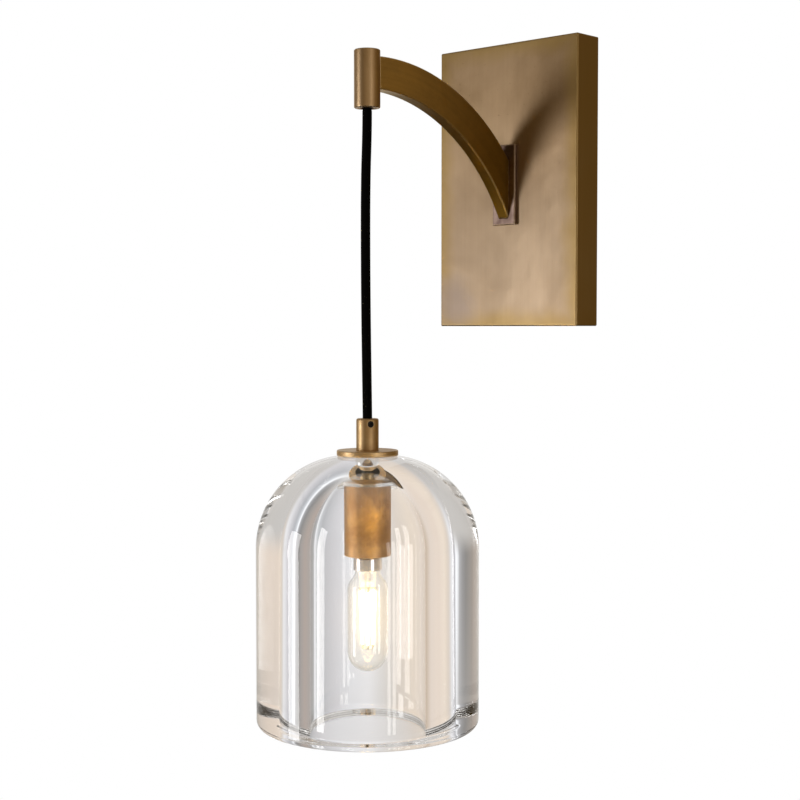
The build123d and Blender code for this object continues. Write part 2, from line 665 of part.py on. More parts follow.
def cap_disc():
    """Brass disc between the grip and the glass, with a recess for the gasket."""
    disc = rod(DISC_RADIUS, DISC_LOW_Z, GRIP_LOW_Z)
    disc = chamfer(disc.edges().filter_by(GeomType.CIRCLE), DISC_BEVEL)
    disc -= rod(GLASS_TOP_FLAT - BUSH_FIT, DISC_LOW_Z, DISC_LOW_Z + GASKET_THICKNESS)
    return disc - rod(NIPPLE_RADIUS + THREAD_CLEARANCE, DISC_LOW_Z, GRIP_LOW_Z)


def top_gasket():
    """Soft ring in the disc's recess that the glass is pressed against."""
    outer = GLASS_TOP_FLAT - 2 * BUSH_FIT
    return ring(outer, NIPPLE_RADIUS + THREAD_CLEARANCE, DISC_LOW_Z, DISC_LOW_Z + GASKET_THICKNESS)


def quarter(centre, radius, start_angle, turn=-90):
    """Arc of a turned outline about a (radius, z) point."""
    return CenterArc(centre, radius, start_angle, turn)


def dome_arc(drop=0.0, last_radius=0.0):
    """Half-oval curve from the bore's wall up to a last radius, lowered by a drop."""
    last_angle = acos(last_radius / GLASS_BORE_RADIUS)
    points, slopes = [], []
    for step in range(DOME_STEPS + 1):
        angle = last_angle * step / DOME_STEPS
        across, up = GLASS_BORE_RADIUS * cos(angle), GLASS_DOME_RISE * sin(angle)
        points.append((across, DOME_LOW_Z - drop + up))
        slopes.append((-GLASS_BORE_RADIUS * sin(angle), GLASS_DOME_RISE * cos(angle)))
    return Spline(*points, tangents=(slopes[0], slopes[-1]))


def domed_space(drop=0.0):
    """Space under the bore's dome, or under the same dome lowered by a drop."""
    arch = dome_arc(drop)
    middle = (0, DOME_LOW_Z - drop)
    return turned([Line(middle, arch @ 0), arch, Line(arch @ 1, middle)])


def glass_shade():
    """Thick clear bell: a domed block with a round-topped bore open at the bottom."""
    outer_round, inner_round = GLASS_RIM_OUTER_ROUND, GLASS_RIM_INNER_ROUND
    shoulder_radius = GLASS_RADIUS - GLASS_TOP_FLAT
    shoulder = quarter((GLASS_TOP_FLAT, DISC_LOW_Z - shoulder_radius), shoulder_radius, 90)
    outer_rim = quarter((GLASS_RADIUS - outer_round, GLASS_LOW_Z + outer_round), outer_round, 0)
    inner_centre = (GLASS_BORE_RADIUS + inner_round, GLASS_LOW_Z + inner_round)
    inner_rim = quarter(inner_centre, inner_round, 270)
    bore_dome = dome_arc(last_radius=GLASS_NECK_RADIUS)
    neck_top = (GLASS_NECK_RADIUS, DISC_LOW_Z)
    outline = [
        Line(neck_top, shoulder @ 0),
        shoulder,
        Line(shoulder @ 1, outer_rim @ 0),
        outer_rim,
        Line(outer_rim @ 1, inner_rim @ 0),
        inner_rim,
        Line(inner_rim @ 1, bore_dome @ 0),
        bore_dome,
        Line(bore_dome @ 1, neck_top),
    ]
    return turned(outline)


def seat_washer(glass):
    """Clear silicone pad between the dome and the cup, with a thin lip that follows the dome."""
    pad = ring(CUP_RADIUS, NIPPLE_RADIUS + THREAD_CLEARANCE, CUP_TOP_Z, CROWN_LOW_Z) & domed_space()
    lip = ring(SEAT_RADIUS, CUP_RADIUS, DOME_LOW_Z, CROWN_LOW_Z) & domed_space()
    washer = pad + (lip - domed_space(SEAT_LIP)) - glass
    return washer.solids().sort_by(SortBy.VOLUME)[-1]


def threaded_nipple():
    """Hollow threaded tube that draws the grip, disc, glass, cup and stirrup together."""
    return ring(NIPPLE_RADIUS, NIPPLE_BORE_RADIUS, NIPPLE_LOW_Z, NIPPLE_TOP_Z)


# ---------------------------------------------------------------- lamp holder
def socket_cup():
    """Turned brass cup, open below, around the lamp holder."""
    cup = rod(CUP_RADIUS, CUP_LOW_Z, CUP_TOP_Z)
    cup = fillet(cup.edges().filter_by(GeomType.CIRCLE).sort_by(Axis.Z)[-1], EDGE_ROUND)
    cup -= rod(CUP_RADIUS - CUP_WALL, CUP_LOW_Z, CUP_CEILING_Z)
    return cup - rod(NIPPLE_RADIUS + THREAD_CLEARANCE, CUP_CEILING_Z, CUP_TOP_Z)


def lock_nut():
    """Thin nut that clamps the stirrup and the cup."""
    nut = hexagon(NUT_ACROSS_FLATS, NUT_LOW_Z, STIRRUP_LOW_Z)
    return nut - rod(NIPPLE_RADIUS + THREAD_CLEARANCE, NUT_LOW_Z, STIRRUP_LOW_Z)


def rivet_z():
    """Height of the two rivets that hold the holder in its stirrup."""
    return HOLDER_TOP_Z - RIVET_BELOW_TOP


def rivet(side, clearance=0.0):
    """Rivet through a leg of the stirrup into the holder, or its hole."""
    y_face = -REACH + side * (HOLDER_FLAT + STIRRUP_LEG)
    y_tip = y_face - side * RIVET_LENGTH
    shank = rod_along(RIVET_RADIUS + clearance, (0, y_face, rivet_z()), (0, y_tip, rivet_z()))
    if clearance:
        return shank
    y_head = y_face + side * RIVET_HEAD_HEIGHT
    return shank + rod_along(RIVET_HEAD_RADIUS, (0, y_face, rivet_z()), (0, y_head, rivet_z()))


def holder_stirrup():
    """Steel strap bent down on both sides of the holder."""
    half_width = STIRRUP_WIDTH / 2
    reach = HOLDER_FLAT + STIRRUP_LEG
    x_span = (-half_width, half_width)
    strap = block(x_span, (-REACH - reach, -REACH + reach), (STIRRUP_LOW_Z, CUP_CEILING_Z))
    for side in (-1, 1):
        leg_span = sorted((-REACH + side * HOLDER_FLAT, -REACH + side * reach))
        strap += block(x_span, leg_span, (STIRRUP_LOW_Z - STIRRUP_DROP, STIRRUP_LOW_Z))
        strap -= rivet(side, THREAD_CLEARANCE)
    return strap - rod(NIPPLE_RADIUS + THREAD_CLEARANCE, STIRRUP_LOW_Z, CUP_CEILING_Z)


def core_places():
    """Place of the live and the neutral core across the nipple."""
    return [(side * CORE_OFFSET, -REACH) for side in (-1, 1)]


def lampholder_body():
    """Moulded E14 holder between the legs of the stirrup."""
    body = rod(HOLDER_RADIUS, HOLDER_LOW_Z, HOLDER_TOP_Z)
    flats_low = STIRRUP_LOW_Z - STIRRUP_DROP
    for side in (-1, 1):
        y_span = sorted((-REACH + side * HOLDER_FLAT, -REACH + side * 2 * HOLDER_RADIUS))
        half_width = STIRRUP_WIDTH / 2 + BUSH_FIT
        body -= block((-half_width, half_width), y_span, (flats_low - SEAT_GAP, HOLDER_TOP_Z))
        body -= rivet(side, THREAD_CLEARANCE)
    body -= rod(SHELL_OUTER_RADIUS + SHELL_FIT, HOLDER_LOW_Z, HOLDER_BORE_TOP_Z)
    for x, y in core_places():
        body -= rod(LEAD_RADIUS + WIRE_FIT, HOLDER_TOP_Z - CORE_IN_HOLDER, HOLDER_TOP_Z, x, y)
    pin_top = HOLDER_BORE_TOP_Z + CONTACT_PIN_LENGTH
    return body - rod(CONTACT_PIN_RADIUS + WIRE_FIT, HOLDER_BORE_TOP_Z, pin_top)


def lampholder_shell():
    """Threaded metal liner that the lamp screws into."""
    top = HOLDER_BORE_TOP_Z
    low = HOLDER_LOW_Z + EDGE_ROUND
    return ring(SHELL_OUTER_RADIUS, SHELL_INNER_RADIUS, low, top)


def centre_contact():
    """Live contact in the middle of the holder."""
    disc = rod(CONTACT_RADIUS, HOLDER_BORE_TOP_Z - CONTACT_THICKNESS, HOLDER_BORE_TOP_Z)
    pin_top = HOLDER_BORE_TOP_Z + CONTACT_PIN_LENGTH - WIRE_FIT
    return disc + rod(CONTACT_PIN_RADIUS, HOLDER_BORE_TOP_Z, pin_top)


def straight_core(x, y):
    """Live or neutral core from the cord's end through the nipple into the holder."""
    low = HOLDER_TOP_Z - CORE_IN_HOLDER + WIRE_FIT
    return rod(LEAD_RADIUS, low, CORD_END_Z - CORD_END_GAP, x, y)


def earth_core():
    """Earth core from the cord's end through the nipple to a leg of the stirrup."""
    y = -REACH + CORE_OFFSET
    bend_z = (NIPPLE_LOW_Z + HOLDER_TOP_Z) / 2
    corners = [
        (0, y, CORD_END_Z - CORD_END_GAP),
        (0, y, bend_z),
        (0, -REACH + HOLDER_FLAT, bend_z),
    ]
    return wire_along(LEAD_RADIUS, FilletPolyline(*corners, radius=2 * LEAD_RADIUS))


# ---------------------------------------------------------------- lamp
def lamp_cap():
    """Metal cap of the lamp: an E14 thread and a plain collar that flares over the glass."""
    wall = LAMP_CAP_WALL
    thread_top = LAMP_CAP_LOW_Z + LAMP_COLLAR_HEIGHT + LAMP_THREAD_LENGTH
    collar_top = LAMP_CAP_LOW_Z + LAMP_COLLAR_HEIGHT
    flare = LAMP_COLLAR_RADIUS - LAMP_THREAD_RADIUS
    outer = [
        (LAMP_CONTACT_RADIUS + LAMP_CAP_HOLE_MARGIN, thread_top),
        (LAMP_THREAD_RADIUS, thread_top),
        (LAMP_THREAD_RADIUS, collar_top),
        (LAMP_COLLAR_RADIUS, collar_top - flare / 2),
        (LAMP_COLLAR_RADIUS, LAMP_CAP_LOW_Z),
    ]
    inner = [
        (LAMP_COLLAR_RADIUS - wall, LAMP_CAP_LOW_Z),
        (LAMP_COLLAR_RADIUS - wall, collar_top - flare / 2 - wall / 2),
        (LAMP_THREAD_RADIUS - wall, collar_top - wall / 2),
        (LAMP_THREAD_RADIUS - wall, thread_top - wall),
        (LAMP_CONTACT_RADIUS + LAMP_CAP_HOLE_MARGIN, thread_top - wall),
    ]
    return turned(Polyline(*outer, *inner, close=True))


def lamp_insulator():
    """Dark ring between the lamp's cap and its centre contact."""
    top = LAMP_TIP_Z - LAMP_CONTACT_HEIGHT
    low = LAMP_CAP_LOW_Z + LAMP_COLLAR_HEIGHT + LAMP_THREAD_LENGTH
    cap_hole = LAMP_CONTACT_RADIUS + LAMP_CAP_HOLE_MARGIN
    cone = Pos(0, -REACH, low) * Cone(
        LAMP_THREAD_RADIUS - LAMP_CAP_WALL, LAMP_CONTACT_RADIUS, top - low, align=UPRIGHT
    )
    return cone + rod(cap_hole - BUSH_FIT, low - LAMP_CAP_WALL, low)


def lamp_contact():
    """Centre contact at the lamp's tip."""
    button = rod(LAMP_CONTACT_RADIUS, LAMP_TIP_Z - LAMP_CONTACT_HEIGHT, LAMP_TIP_Z)
    rim = button.edges().filter_by(GeomType.CIRCLE).sort_by(Axis.Z)[-1]
    return fillet(rim, LAMP_CONTACT_HEIGHT / 2)


def shoulder_arcs(radius_change, length, start):
    """Two equal arcs that swell the lamp's glass from its neck, level at both ends."""
    turn = 2 * atan2(radius_change, length)
    bend = length / 2 / sin(turn)
    first = JernArc(start, (0, -1), bend, degrees(turn))
    second = JernArc(first @ 1, first % 1, bend, -degrees(turn))
    return first, second


def lamp_outline(inset):
    """Outline of the lamp's glass from the cap to the tip, drawn in by a wall."""
    neck, belly = LAMP_NECK_RADIUS - inset, LAMP_GLASS_RADIUS - inset
    start = (neck, LAMP_CAP_LOW_Z + LAMP_GLASS_IN_CAP)
    neck_end = (neck, LAMP_CAP_LOW_Z)
    first, second = shoulder_arcs(belly - neck, LAMP_SHOULDER_LENGTH, neck_end)
    tip_centre = (0, LAMP_GLASS_LOW_Z + LAMP_GLASS_RADIUS)
    tip = CenterArc(tip_centre, belly, 0, -90)
    return [Line(start, neck_end), first, second, Line(second @ 1, tip @ 0), tip]


def lamp_envelope():
    """Thin tubular glass of the lamp, closed by a round tip."""
    outer, inner = lamp_outline(0), lamp_outline(LAMP_GLASS_WALL)
    top = Line(inner[0] @ 0, outer[0] @ 0)
    low = Line(outer[-1] @ 1, inner[-1] @ 1)
    return turned([top, *outer, low, *inner])


def lamp_stem():
    """Glass stem inside the lamp that carries the filaments."""
    base_top = LAMP_CAP_LOW_Z + LAMP_GLASS_IN_CAP
    flare_z = LAMP_CAP_LOW_Z + STEM_FLARE_RISE
    foot = rod(LAMP_NECK_RADIUS - LAMP_GLASS_WALL - BUSH_FIT, flare_z, base_top)
    taper = Pos(0, -REACH, LAMP_CAP_LOW_Z - STEM_LENGTH) * Cone(
        STEM_TIP_RADIUS, STEM_RADIUS, STEM_LENGTH + STEM_FLARE_RISE, align=UPRIGHT
    )
    return foot + taper


def filament_ends():
    """Top and bottom point of each upright filament."""
    top_z = LAMP_CAP_LOW_Z - LAMP_SHOULDER_LENGTH + FILAMENT_IN_SHOULDER
    low_z = top_z - FILAMENT_LENGTH
    ends = []
    for index in range(FILAMENT_COUNT):
        angle = radians(360 / FILAMENT_COUNT * (index + 0.5))
        high, low = [
            (reach * cos(angle), -REACH + reach * sin(angle), z)
            for reach, z in ((FILAMENT_CIRCLE_TOP, top_z), (FILAMENT_CIRCLE_LOW, low_z))
        ]
        ends.append((high, low))
    return ends


def lamp_filaments():
    """Upright light strips of the lamp."""
    return [rod_along(FILAMENT_RADIUS, high, low) for high, low in filament_ends()]


def filament_supports():
    """Wires from the stem to the top of each filament, and a hoop that joins their feet."""
    stem, strips = lamp_stem(), lamp_filaments()
    supports = []
    for strip, (high, low) in zip(strips, filament_ends()):
        level = high[2] - FILAMENT_WIRE_RADIUS
        wire = rod_along(FILAMENT_WIRE_RADIUS, (0, -REACH, level), (high[0], high[1], level))
        supports.append((wire - stem - strip).solids().sort_by(SortBy.VOLUME)[-1])
    low_z = min(strip.bounding_box().min.Z for strip in strips) - FILAMENT_WIRE_RADIUS
    hoop = Pos(0, -REACH, low_z) * Torus(FILAMENT_CIRCLE_LOW, FILAMENT_WIRE_RADIUS)
    return supports, hoop


def main():
    """Build every piece and write it to its own file."""
    os.makedirs("parts", exist_ok=True)
    glass = glass_shade()
    save("backplate_cover", backplate_cover())
    save("wall_bracket", wall_bracket())
    save("cover_screws", cover_screw(1), cover_screw(-1))
    save("arm_foot", arm_foot())
    save("foot_screws", foot_screw(1), foot_screw(-1))
    save("curved_arm", curved_arm())
    save("arm_end_tube", arm_end_tube())
    save("cord_bush", cord_bush())
    save("cord_bush_screw", bush_screw())
    save("earth_lead", lead(-1, 0))
    save("neutral_lead", lead(0, -POLE_PITCH))
    save("live_lead", lead(1, POLE_PITCH))
    save("wire_grommet", wire_grommet())
    save("terminal_block", terminal_block())
    save("terminal_inserts", *terminal_inserts())
    save("terminal_screws", *pole_screws())
    save("terminal_block_screws", *block_screws())
    save("earth_screw", earth_screw())
    save("cord_tail", cord_tail())
    save("cord_knuckle", cord_knuckle())
    save("cord", cord())
    save("cord_grip", cord_grip())
    save("grip_screw", grip_screw())
    save("cap_disc", cap_disc())
    save("top_gasket", top_gasket())
    save("glass_shade", glass)
    save("seat_washer", seat_washer(glass))
    save("threaded_nipple", threaded_nipple())
    save("socket_cup", socket_cup())
    save("lock_nut", lock_nut())
    save("holder_stirrup", holder_stirrup())
    save("holder_rivets", rivet(1), rivet(-1))
    save("lampholder_body", lampholder_body())
    save("lampholder_shell", lampholder_shell())
    save("centre_contact", centre_contact())
    for name, (x, y) in zip(("neutral_core", "live_core"), core_places()):
        save(name, straight_core(x, y))
    save("earth_core", earth_core())
    save("lamp_cap", lamp_cap())
    save("lamp_insulator", lamp_insulator())
    save("lamp_contact", lamp_contact())
    save("lamp_envelope", lamp_envelope())
    save("lamp_stem", lamp_stem())
    save("lamp_filaments", *lamp_filaments())
    supports, hoop = filament_supports()
    save("filament_supports", *supports, hoop)


main()
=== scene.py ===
"""Looks of a hanging wall sconce: brass plate and arm, fabric cord, thick glass bell and a lit lamp.

Metres, +Z up. The origin is the middle of the plate's back, on the wall plane. The lamp reaches
out along -Y, and +X is to the right when the sconce is seen from the front.
"""
import logging
import math
from dataclasses import dataclass
from enum import Enum
from typing import Any, Optional, Sequence

import bmesh
import bpy
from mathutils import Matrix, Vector


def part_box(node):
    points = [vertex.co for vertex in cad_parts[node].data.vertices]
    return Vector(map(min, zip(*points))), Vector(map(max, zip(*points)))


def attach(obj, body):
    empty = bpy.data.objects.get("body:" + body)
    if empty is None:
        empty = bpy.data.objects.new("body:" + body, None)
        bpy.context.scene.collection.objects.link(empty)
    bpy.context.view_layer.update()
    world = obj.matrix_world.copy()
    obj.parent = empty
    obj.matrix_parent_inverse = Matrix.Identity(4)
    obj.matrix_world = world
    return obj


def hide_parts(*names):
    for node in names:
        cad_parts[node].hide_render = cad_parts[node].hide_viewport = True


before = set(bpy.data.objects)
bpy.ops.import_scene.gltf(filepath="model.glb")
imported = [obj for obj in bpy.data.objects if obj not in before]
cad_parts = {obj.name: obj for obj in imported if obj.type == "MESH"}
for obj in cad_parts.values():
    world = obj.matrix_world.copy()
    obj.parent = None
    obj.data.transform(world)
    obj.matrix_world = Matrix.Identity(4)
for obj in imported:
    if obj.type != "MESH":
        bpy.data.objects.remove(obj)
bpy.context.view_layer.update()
LOG = logging.getLogger("sconce")

Colour = tuple[float, float, float]
Point = tuple[float, float, float]
Profile = list[tuple[float, float]]
Socket = bpy.types.NodeSocket
Tree = bpy.types.NodeTree

AXIS_Y = sum(corner[1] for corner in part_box("cord")) / 2
WHITE = (1.0, 1.0, 1.0)
FLOAT, INTEGER, VECTOR = "NodeSocketFloat", "NodeSocketInt", "NodeSocketVector"
GEOMETRY, MATERIAL = "NodeSocketGeometry", "NodeSocketMaterial"
SHADER_TREE, SHAPE_TREE = "ShaderNodeTree", "GeometryNodeTree"


# ------------------------------------------------------------------------------ node sheets
def rgba(colour: Colour) -> tuple[float, float, float, float]:
    """The colour with full alpha."""
    return (*colour, 1.0)


class Sheet:
    """A node tree with short ways to add to it. A node given as a value stands for its first output."""

    def __init__(self, tree: Tree) -> None:
        """Take up a tree."""
        self.tree = tree

    @classmethod
    def group(cls, name: str, kind: str, inputs: dict[str, Any], outputs: dict[str, str]) -> "Sheet":
        """Start a node group with named sockets.

        Args:
            name: Name of the group.
            kind: Tree type, for shaders or for geometry.
            inputs: Socket name with a socket type, or with a number's default.
            outputs: Socket name with its type.

        Returns:
            The group's sheet, with its input sockets in given and its output node in end.
        """
        sheet = cls(bpy.data.node_groups.new(name, kind))
        face = sheet.tree.interface
        for label, value in inputs.items():
            if isinstance(value, str):
                face.new_socket(label, in_out="INPUT", socket_type=value)
                continue
            number = INTEGER if isinstance(value, int) else FLOAT
            face.new_socket(label, in_out="INPUT", socket_type=number).default_value = value
        for label, socket_type in outputs.items():
            face.new_socket(label, in_out="OUTPUT", socket_type=socket_type)
        sheet.given = sheet.tree.nodes.new("NodeGroupInput").outputs
        sheet.end = sheet.tree.nodes.new("NodeGroupOutput")
        return sheet

    def give(self, **outputs: Any) -> Tree:
        """Link a group's outputs, and give back its tree."""
        self.feed(self.end, outputs)
        return self.tree

    def add(self, kind: str, inputs: Optional[dict] = None, **settings: Any) -> bpy.types.Node:
        """Add a node.

        Args:
            kind: The node's type name.
            inputs: Input name or index, with its value or what feeds it.
            settings: Options of the node, by attribute name.

        Returns:
            The new node.
        """
        made = self.tree.nodes.new(kind)
        for name, value in settings.items():
            setattr(made, name, value)
        self.feed(made, inputs or {})
        return made

    def feed(self, node: bpy.types.Node, inputs: dict) -> None:
        """Set or link a node's inputs.

        Args:
            node: The node.
            inputs: Input name or index, with its value or what feeds it.
        """
        for key, value in inputs.items():
            source = value.outputs[0] if isinstance(value, bpy.types.Node) else value
            if isinstance(source, Socket):
                self.tree.links.new(source, node.inputs[key])
            else:
                node.inputs[key].default_value = source

    def calc(self, operation: str, *values: Any, clamp: bool = False) -> Socket:
        """Result of a maths node on numbers or sockets, kept between 0 and 1 where clamped."""
        return self.add("ShaderNodeMath", dict(enumerate(values)), operation=operation, use_clamp=clamp).outputs[0]

    def times(self, first: Any, second: Any) -> Socket:
        """Product of two numbers."""
        return self.calc("MULTIPLY", first, second)

    def far(self, first: Any, second: Any) -> Socket:
        """Distance that two steps at a right angle reach."""
        return self.calc("SQRT", self.calc("ADD", self.times(first, first), self.times(second, second)))

    def vector(self, operation: str, first: Any, second: Any = (0.0, 0.0, 0.0)) -> bpy.types.Node:
        """Node of vector maths."""
        return self.add("ShaderNodeVectorMath", {0: first, 1: second}, operation=operation)

    def split(self, vector: Any) -> Sequence[Socket]:
        """The three parts of a vector."""
        return self.add("ShaderNodeSeparateXYZ", {0: vector}).outputs

    def join(self, x: Any = 0.0, y: Any = 0.0, z: Any = 0.0) -> Socket:
        """Vector of three parts."""
        return self.add("ShaderNodeCombineXYZ", {0: x, 1: y, 2: z}).outputs[0]

    def ramp(self, value: Any, first: Any, last: Any) -> Socket:
        """Soft step from 0 at the first value to 1 at the last."""
        ends = {0: value, 1: first, 2: last}
        return self.add("ShaderNodeMapRange", ends, interpolation_type="SMOOTHSTEP").outputs[0]

    def noise(self, vector: Any, scale: Any, detail: float = 2.0, rough: float = 0.5, bend: float = 0.0) -> Socket:
        """Noise from 0 to 1 over a vector."""
        inputs = {"Vector": vector, "Scale": scale, "Detail": detail, "Roughness": rough, "Distortion": bend}
        return self.add("ShaderNodeTexNoise", inputs).outputs[0]

    def bump(self, height: Any, strength: float, distance: float, **more: Any) -> bpy.types.Node:
        """Bump node that reads a height."""
        return self.add("ShaderNodeBump", {"Strength": strength, "Distance": distance, "Height": height, **more})

    def blend(self, factor: Any, first: Any, second: Any) -> Socket:
        """Mix of two colours, each a tuple or a socket."""
        ends = [rgba(end) if isinstance(end, tuple) else end for end in (first, second)]
        return self.add("ShaderNodeMix", {0: factor, 6: ends[0], 7: ends[1]}, data_type="RGBA").outputs[2]


# ------------------------------------------------------------------------------ shader groups
class Effects:
    """Shader node groups that several finishes share, each built once."""

    def __init__(self) -> None:
        """Build every group."""
        self.grain = self._grain()
        self.arc_lines = self._arc_lines()
        self.turned_lines = self._turned_lines()
        self.patina = self._patina()
        self.edge_wear_and_highlight = self._edge_wear_and_highlight()
        self.braid = self._braid()
        self.border = self._border()

    @staticmethod
    def place(sheet: Sheet, group: Tree, **inputs: Any) -> bpy.types.Node:
        """Put a group in a material.

        Args:
            sheet: The material's sheet.
            group: The node group.
            inputs: Values or sockets by input name.

        Returns:
            The group's node.
        """
        made = sheet.add("ShaderNodeGroup", node_tree=group)
        sheet.feed(made, inputs)
        return made

    @staticmethod
    def _grain() -> Tree:
        """Fine brushed lines along the third axis of the vector: Value from 0 to 1, and Streak, coarser."""
        inputs = {"Vector": VECTOR, "Across": 2600.0, "Along": 45.0}
        sheet = Sheet.group("grain", SHADER_TREE, inputs, {"Value": FLOAT, "Streak": FLOAT})
        lines = {}
        for label, share, detail in (("Value", 1.0, 4.0), ("Streak", 0.12, 3.0)):
            across, along = (sheet.times(sheet.given[way], share) for way in ("Across", "Along"))
            spread = sheet.vector("MULTIPLY", sheet.given["Vector"], sheet.join(across, across, along))
            lines[label] = sheet.noise(spread, 1.0, detail, 0.6)
        return sheet.give(**lines)

    @staticmethod
    def _arc_lines() -> Tree:
        """Coordinates that follow an arc in the YZ plane: across, radius, and length along the arc."""
        inputs = {"Vector": VECTOR, "Centre Y": -0.148, "Centre Z": -0.09, "Radius": 0.15}
        sheet = Sheet.group("arc_lines", SHADER_TREE, inputs, {"Vector": VECTOR})
        x, y, z = sheet.split(sheet.given["Vector"])
        y = sheet.calc("SUBTRACT", y, sheet.given["Centre Y"])
        z = sheet.calc("SUBTRACT", z, sheet.given["Centre Z"])
        length = sheet.times(sheet.calc("ARCTAN2", y, z), sheet.given["Radius"])
        return sheet.give(Vector=sheet.join(x, sheet.far(y, z), length))

    @staticmethod
    def _turned_lines() -> Tree:
        """Coordinates round the upright axis of the vector: radius, height, and length round it."""
        sheet = Sheet.group("turned_lines", SHADER_TREE, {"Vector": VECTOR, "Radius": 0.01}, {"Vector": VECTOR})
        x, y, z = sheet.split(sheet.given["Vector"])
        round_it = sheet.times(sheet.calc("ARCTAN2", y, x), sheet.given["Radius"])
        return sheet.give(Vector=sheet.join(sheet.far(x, y), z, round_it))

    @staticmethod
    def _patina() -> Tree:
        """Uneven ageing of brass: Cloud is the broad change of tone, Spots the small dark stains."""
        outputs = {"Cloud": FLOAT, "Spots": FLOAT}
        sheet = Sheet.group("patina", SHADER_TREE, {"Vector": VECTOR, "Scale": 22.0}, outputs)
        vector, scale = sheet.given["Vector"], sheet.given["Scale"]
        cloud = sheet.noise(vector, scale, 6.0, 0.62, 0.35)
        spots = sheet.noise(vector, sheet.times(scale, 34.0), 3.0)
        return sheet.give(Cloud=sheet.ramp(cloud, 0.34, 0.68), Spots=sheet.ramp(spots, 0.66, 0.76))

    @staticmethod
    def _edge_wear_and_highlight() -> Tree:
        """Where hands have rubbed the edges, with a painted highlight along them: Mask is bright there, and Normal
        rounds them by Turn.
        """
        inputs = {"Width": 0.0007, "Strength": 6.0, "Turn": 1.0}
        sheet = Sheet.group("edge_wear_and_highlight", SHADER_TREE, inputs, {"Mask": FLOAT, "Normal": VECTOR})
        rounded = sheet.add("ShaderNodeBevel", {"Radius": sheet.given["Width"]}, samples=6)
        surface = sheet.add("ShaderNodeNewGeometry").outputs["Normal"]
        match = sheet.vector("DOT_PRODUCT", rounded, surface).outputs["Value"]
        mask = sheet.calc("MULTIPLY", sheet.calc("SUBTRACT", 1.0, match), sheet.given["Strength"], clamp=True)
        ends = {0: sheet.given["Turn"], 4: surface, 5: rounded}
        turned = sheet.add("ShaderNodeMix", ends, data_type="VECTOR").outputs[1]
        return sheet.give(Mask=mask, Normal=sheet.vector("NORMALIZE", turned))

    @staticmethod
    def _border() -> Tree:
        """Uneven border inside the plate's outline, where its tone turns more golden."""
        inputs = {"Vector": VECTOR, "Half Width": 0.060, "Half Height": 0.0965, "Reach": 0.016}
        sheet = Sheet.group("border", SHADER_TREE, inputs, {"Mask": FLOAT})
        x, _, z = sheet.split(sheet.given["Vector"])
        across = sheet.calc("SUBTRACT", sheet.given["Half Width"], sheet.calc("ABSOLUTE", x))
        up = sheet.calc("SUBTRACT", sheet.given["Half Height"], sheet.calc("ABSOLUTE", z))
        uneven = sheet.calc("MULTIPLY_ADD", sheet.noise(sheet.given["Vector"], 40.0, 3.0), 0.014, -0.007)
        near = sheet.calc("ADD", sheet.calc("MINIMUM", across, up), uneven)
        return sheet.give(Mask=sheet.ramp(near, sheet.given["Reach"], 0.0))

    @staticmethod
    def _braid() -> Tree:
        """Crossing strands round an upright axis: Height of the yarn, and Yarn, a value for each strand."""
        inputs = {"Vector": VECTOR, "Strands": 16.0, "Pitch": 0.012}
        sheet = Sheet.group("braid", SHADER_TREE, inputs, {"Height": FLOAT, "Yarn": FLOAT})
        x, y, z = sheet.split(sheet.given["Vector"])
        turn = sheet.calc("DIVIDE", sheet.calc("ARCTAN2", y, x), math.tau)
        rise = sheet.calc("DIVIDE", z, sheet.given["Pitch"])
        half = sheet.times(sheet.given["Strands"], 0.5)
        left, right = (sheet.times(sheet.calc(way, turn, rise), half) for way in ("SUBTRACT", "ADD"))
        low, high = (sheet.calc("ABSOLUTE", sheet.calc("SINE", sheet.times(way, math.pi))) for way in (left, right))
        both = sheet.times(sheet.calc("ADD", right, left), math.pi)
        over = sheet.calc("GREATER_THAN", sheet.calc("SINE", both), 0.0)
        height = sheet.add("ShaderNodeMix", {0: over, 2: low, 3: high}, data_type="FLOAT")
        return sheet.give(Height=height, Yarn=over)


# ------------------------------------------------------------------------------ finishes
class Lines(Enum):
    """Direction of the brushed or turned lines in a metal."""

    UPRIGHT = "along Z"
    ARM = "along the arm's arc"
    TURNED = "round the axis"
    PLAIN = "none"


@dataclass(frozen=True)
class Finish:
    """A finish with its name. Each kind says what feeds its shader."""

    name: str

    def build(self, effects: Effects) -> bpy.types.Material:
        """Make the material.

        Args:
            effects: The shared shader groups.

        Returns:
            The new material.
        """
        material = bpy.data.materials.new(self.name)
        material.use_nodes = True
        sheet = Sheet(material.node_tree)
        shader = next(node for node in sheet.tree.nodes if node.type == "BSDF_PRINCIPLED")
        sheet.feed(shader, self.inputs(sheet, effects, sheet.add("ShaderNodeTexCoord").outputs["Object"]))
        return material

    def inputs(self, sheet: Sheet, effects: Effects, spot: Socket) -> dict[str, Any]:
        """What feeds the shader.

        Args:
            sheet: The material's sheet.
            effects: The shared shader groups.
            spot: Object coordinates.

        Returns:
            Values and sockets by the shader's input names.
        """
        raise NotImplementedError

    @staticmethod
    def centred(sheet: Sheet, spot: Socket) -> bpy.types.Node:
        """Object coordinates about the lamp's axis."""
        return sheet.add("ShaderNodeMapping", {"Vector": spot, "Location": (0.0, -AXIS_Y, 0.0)})


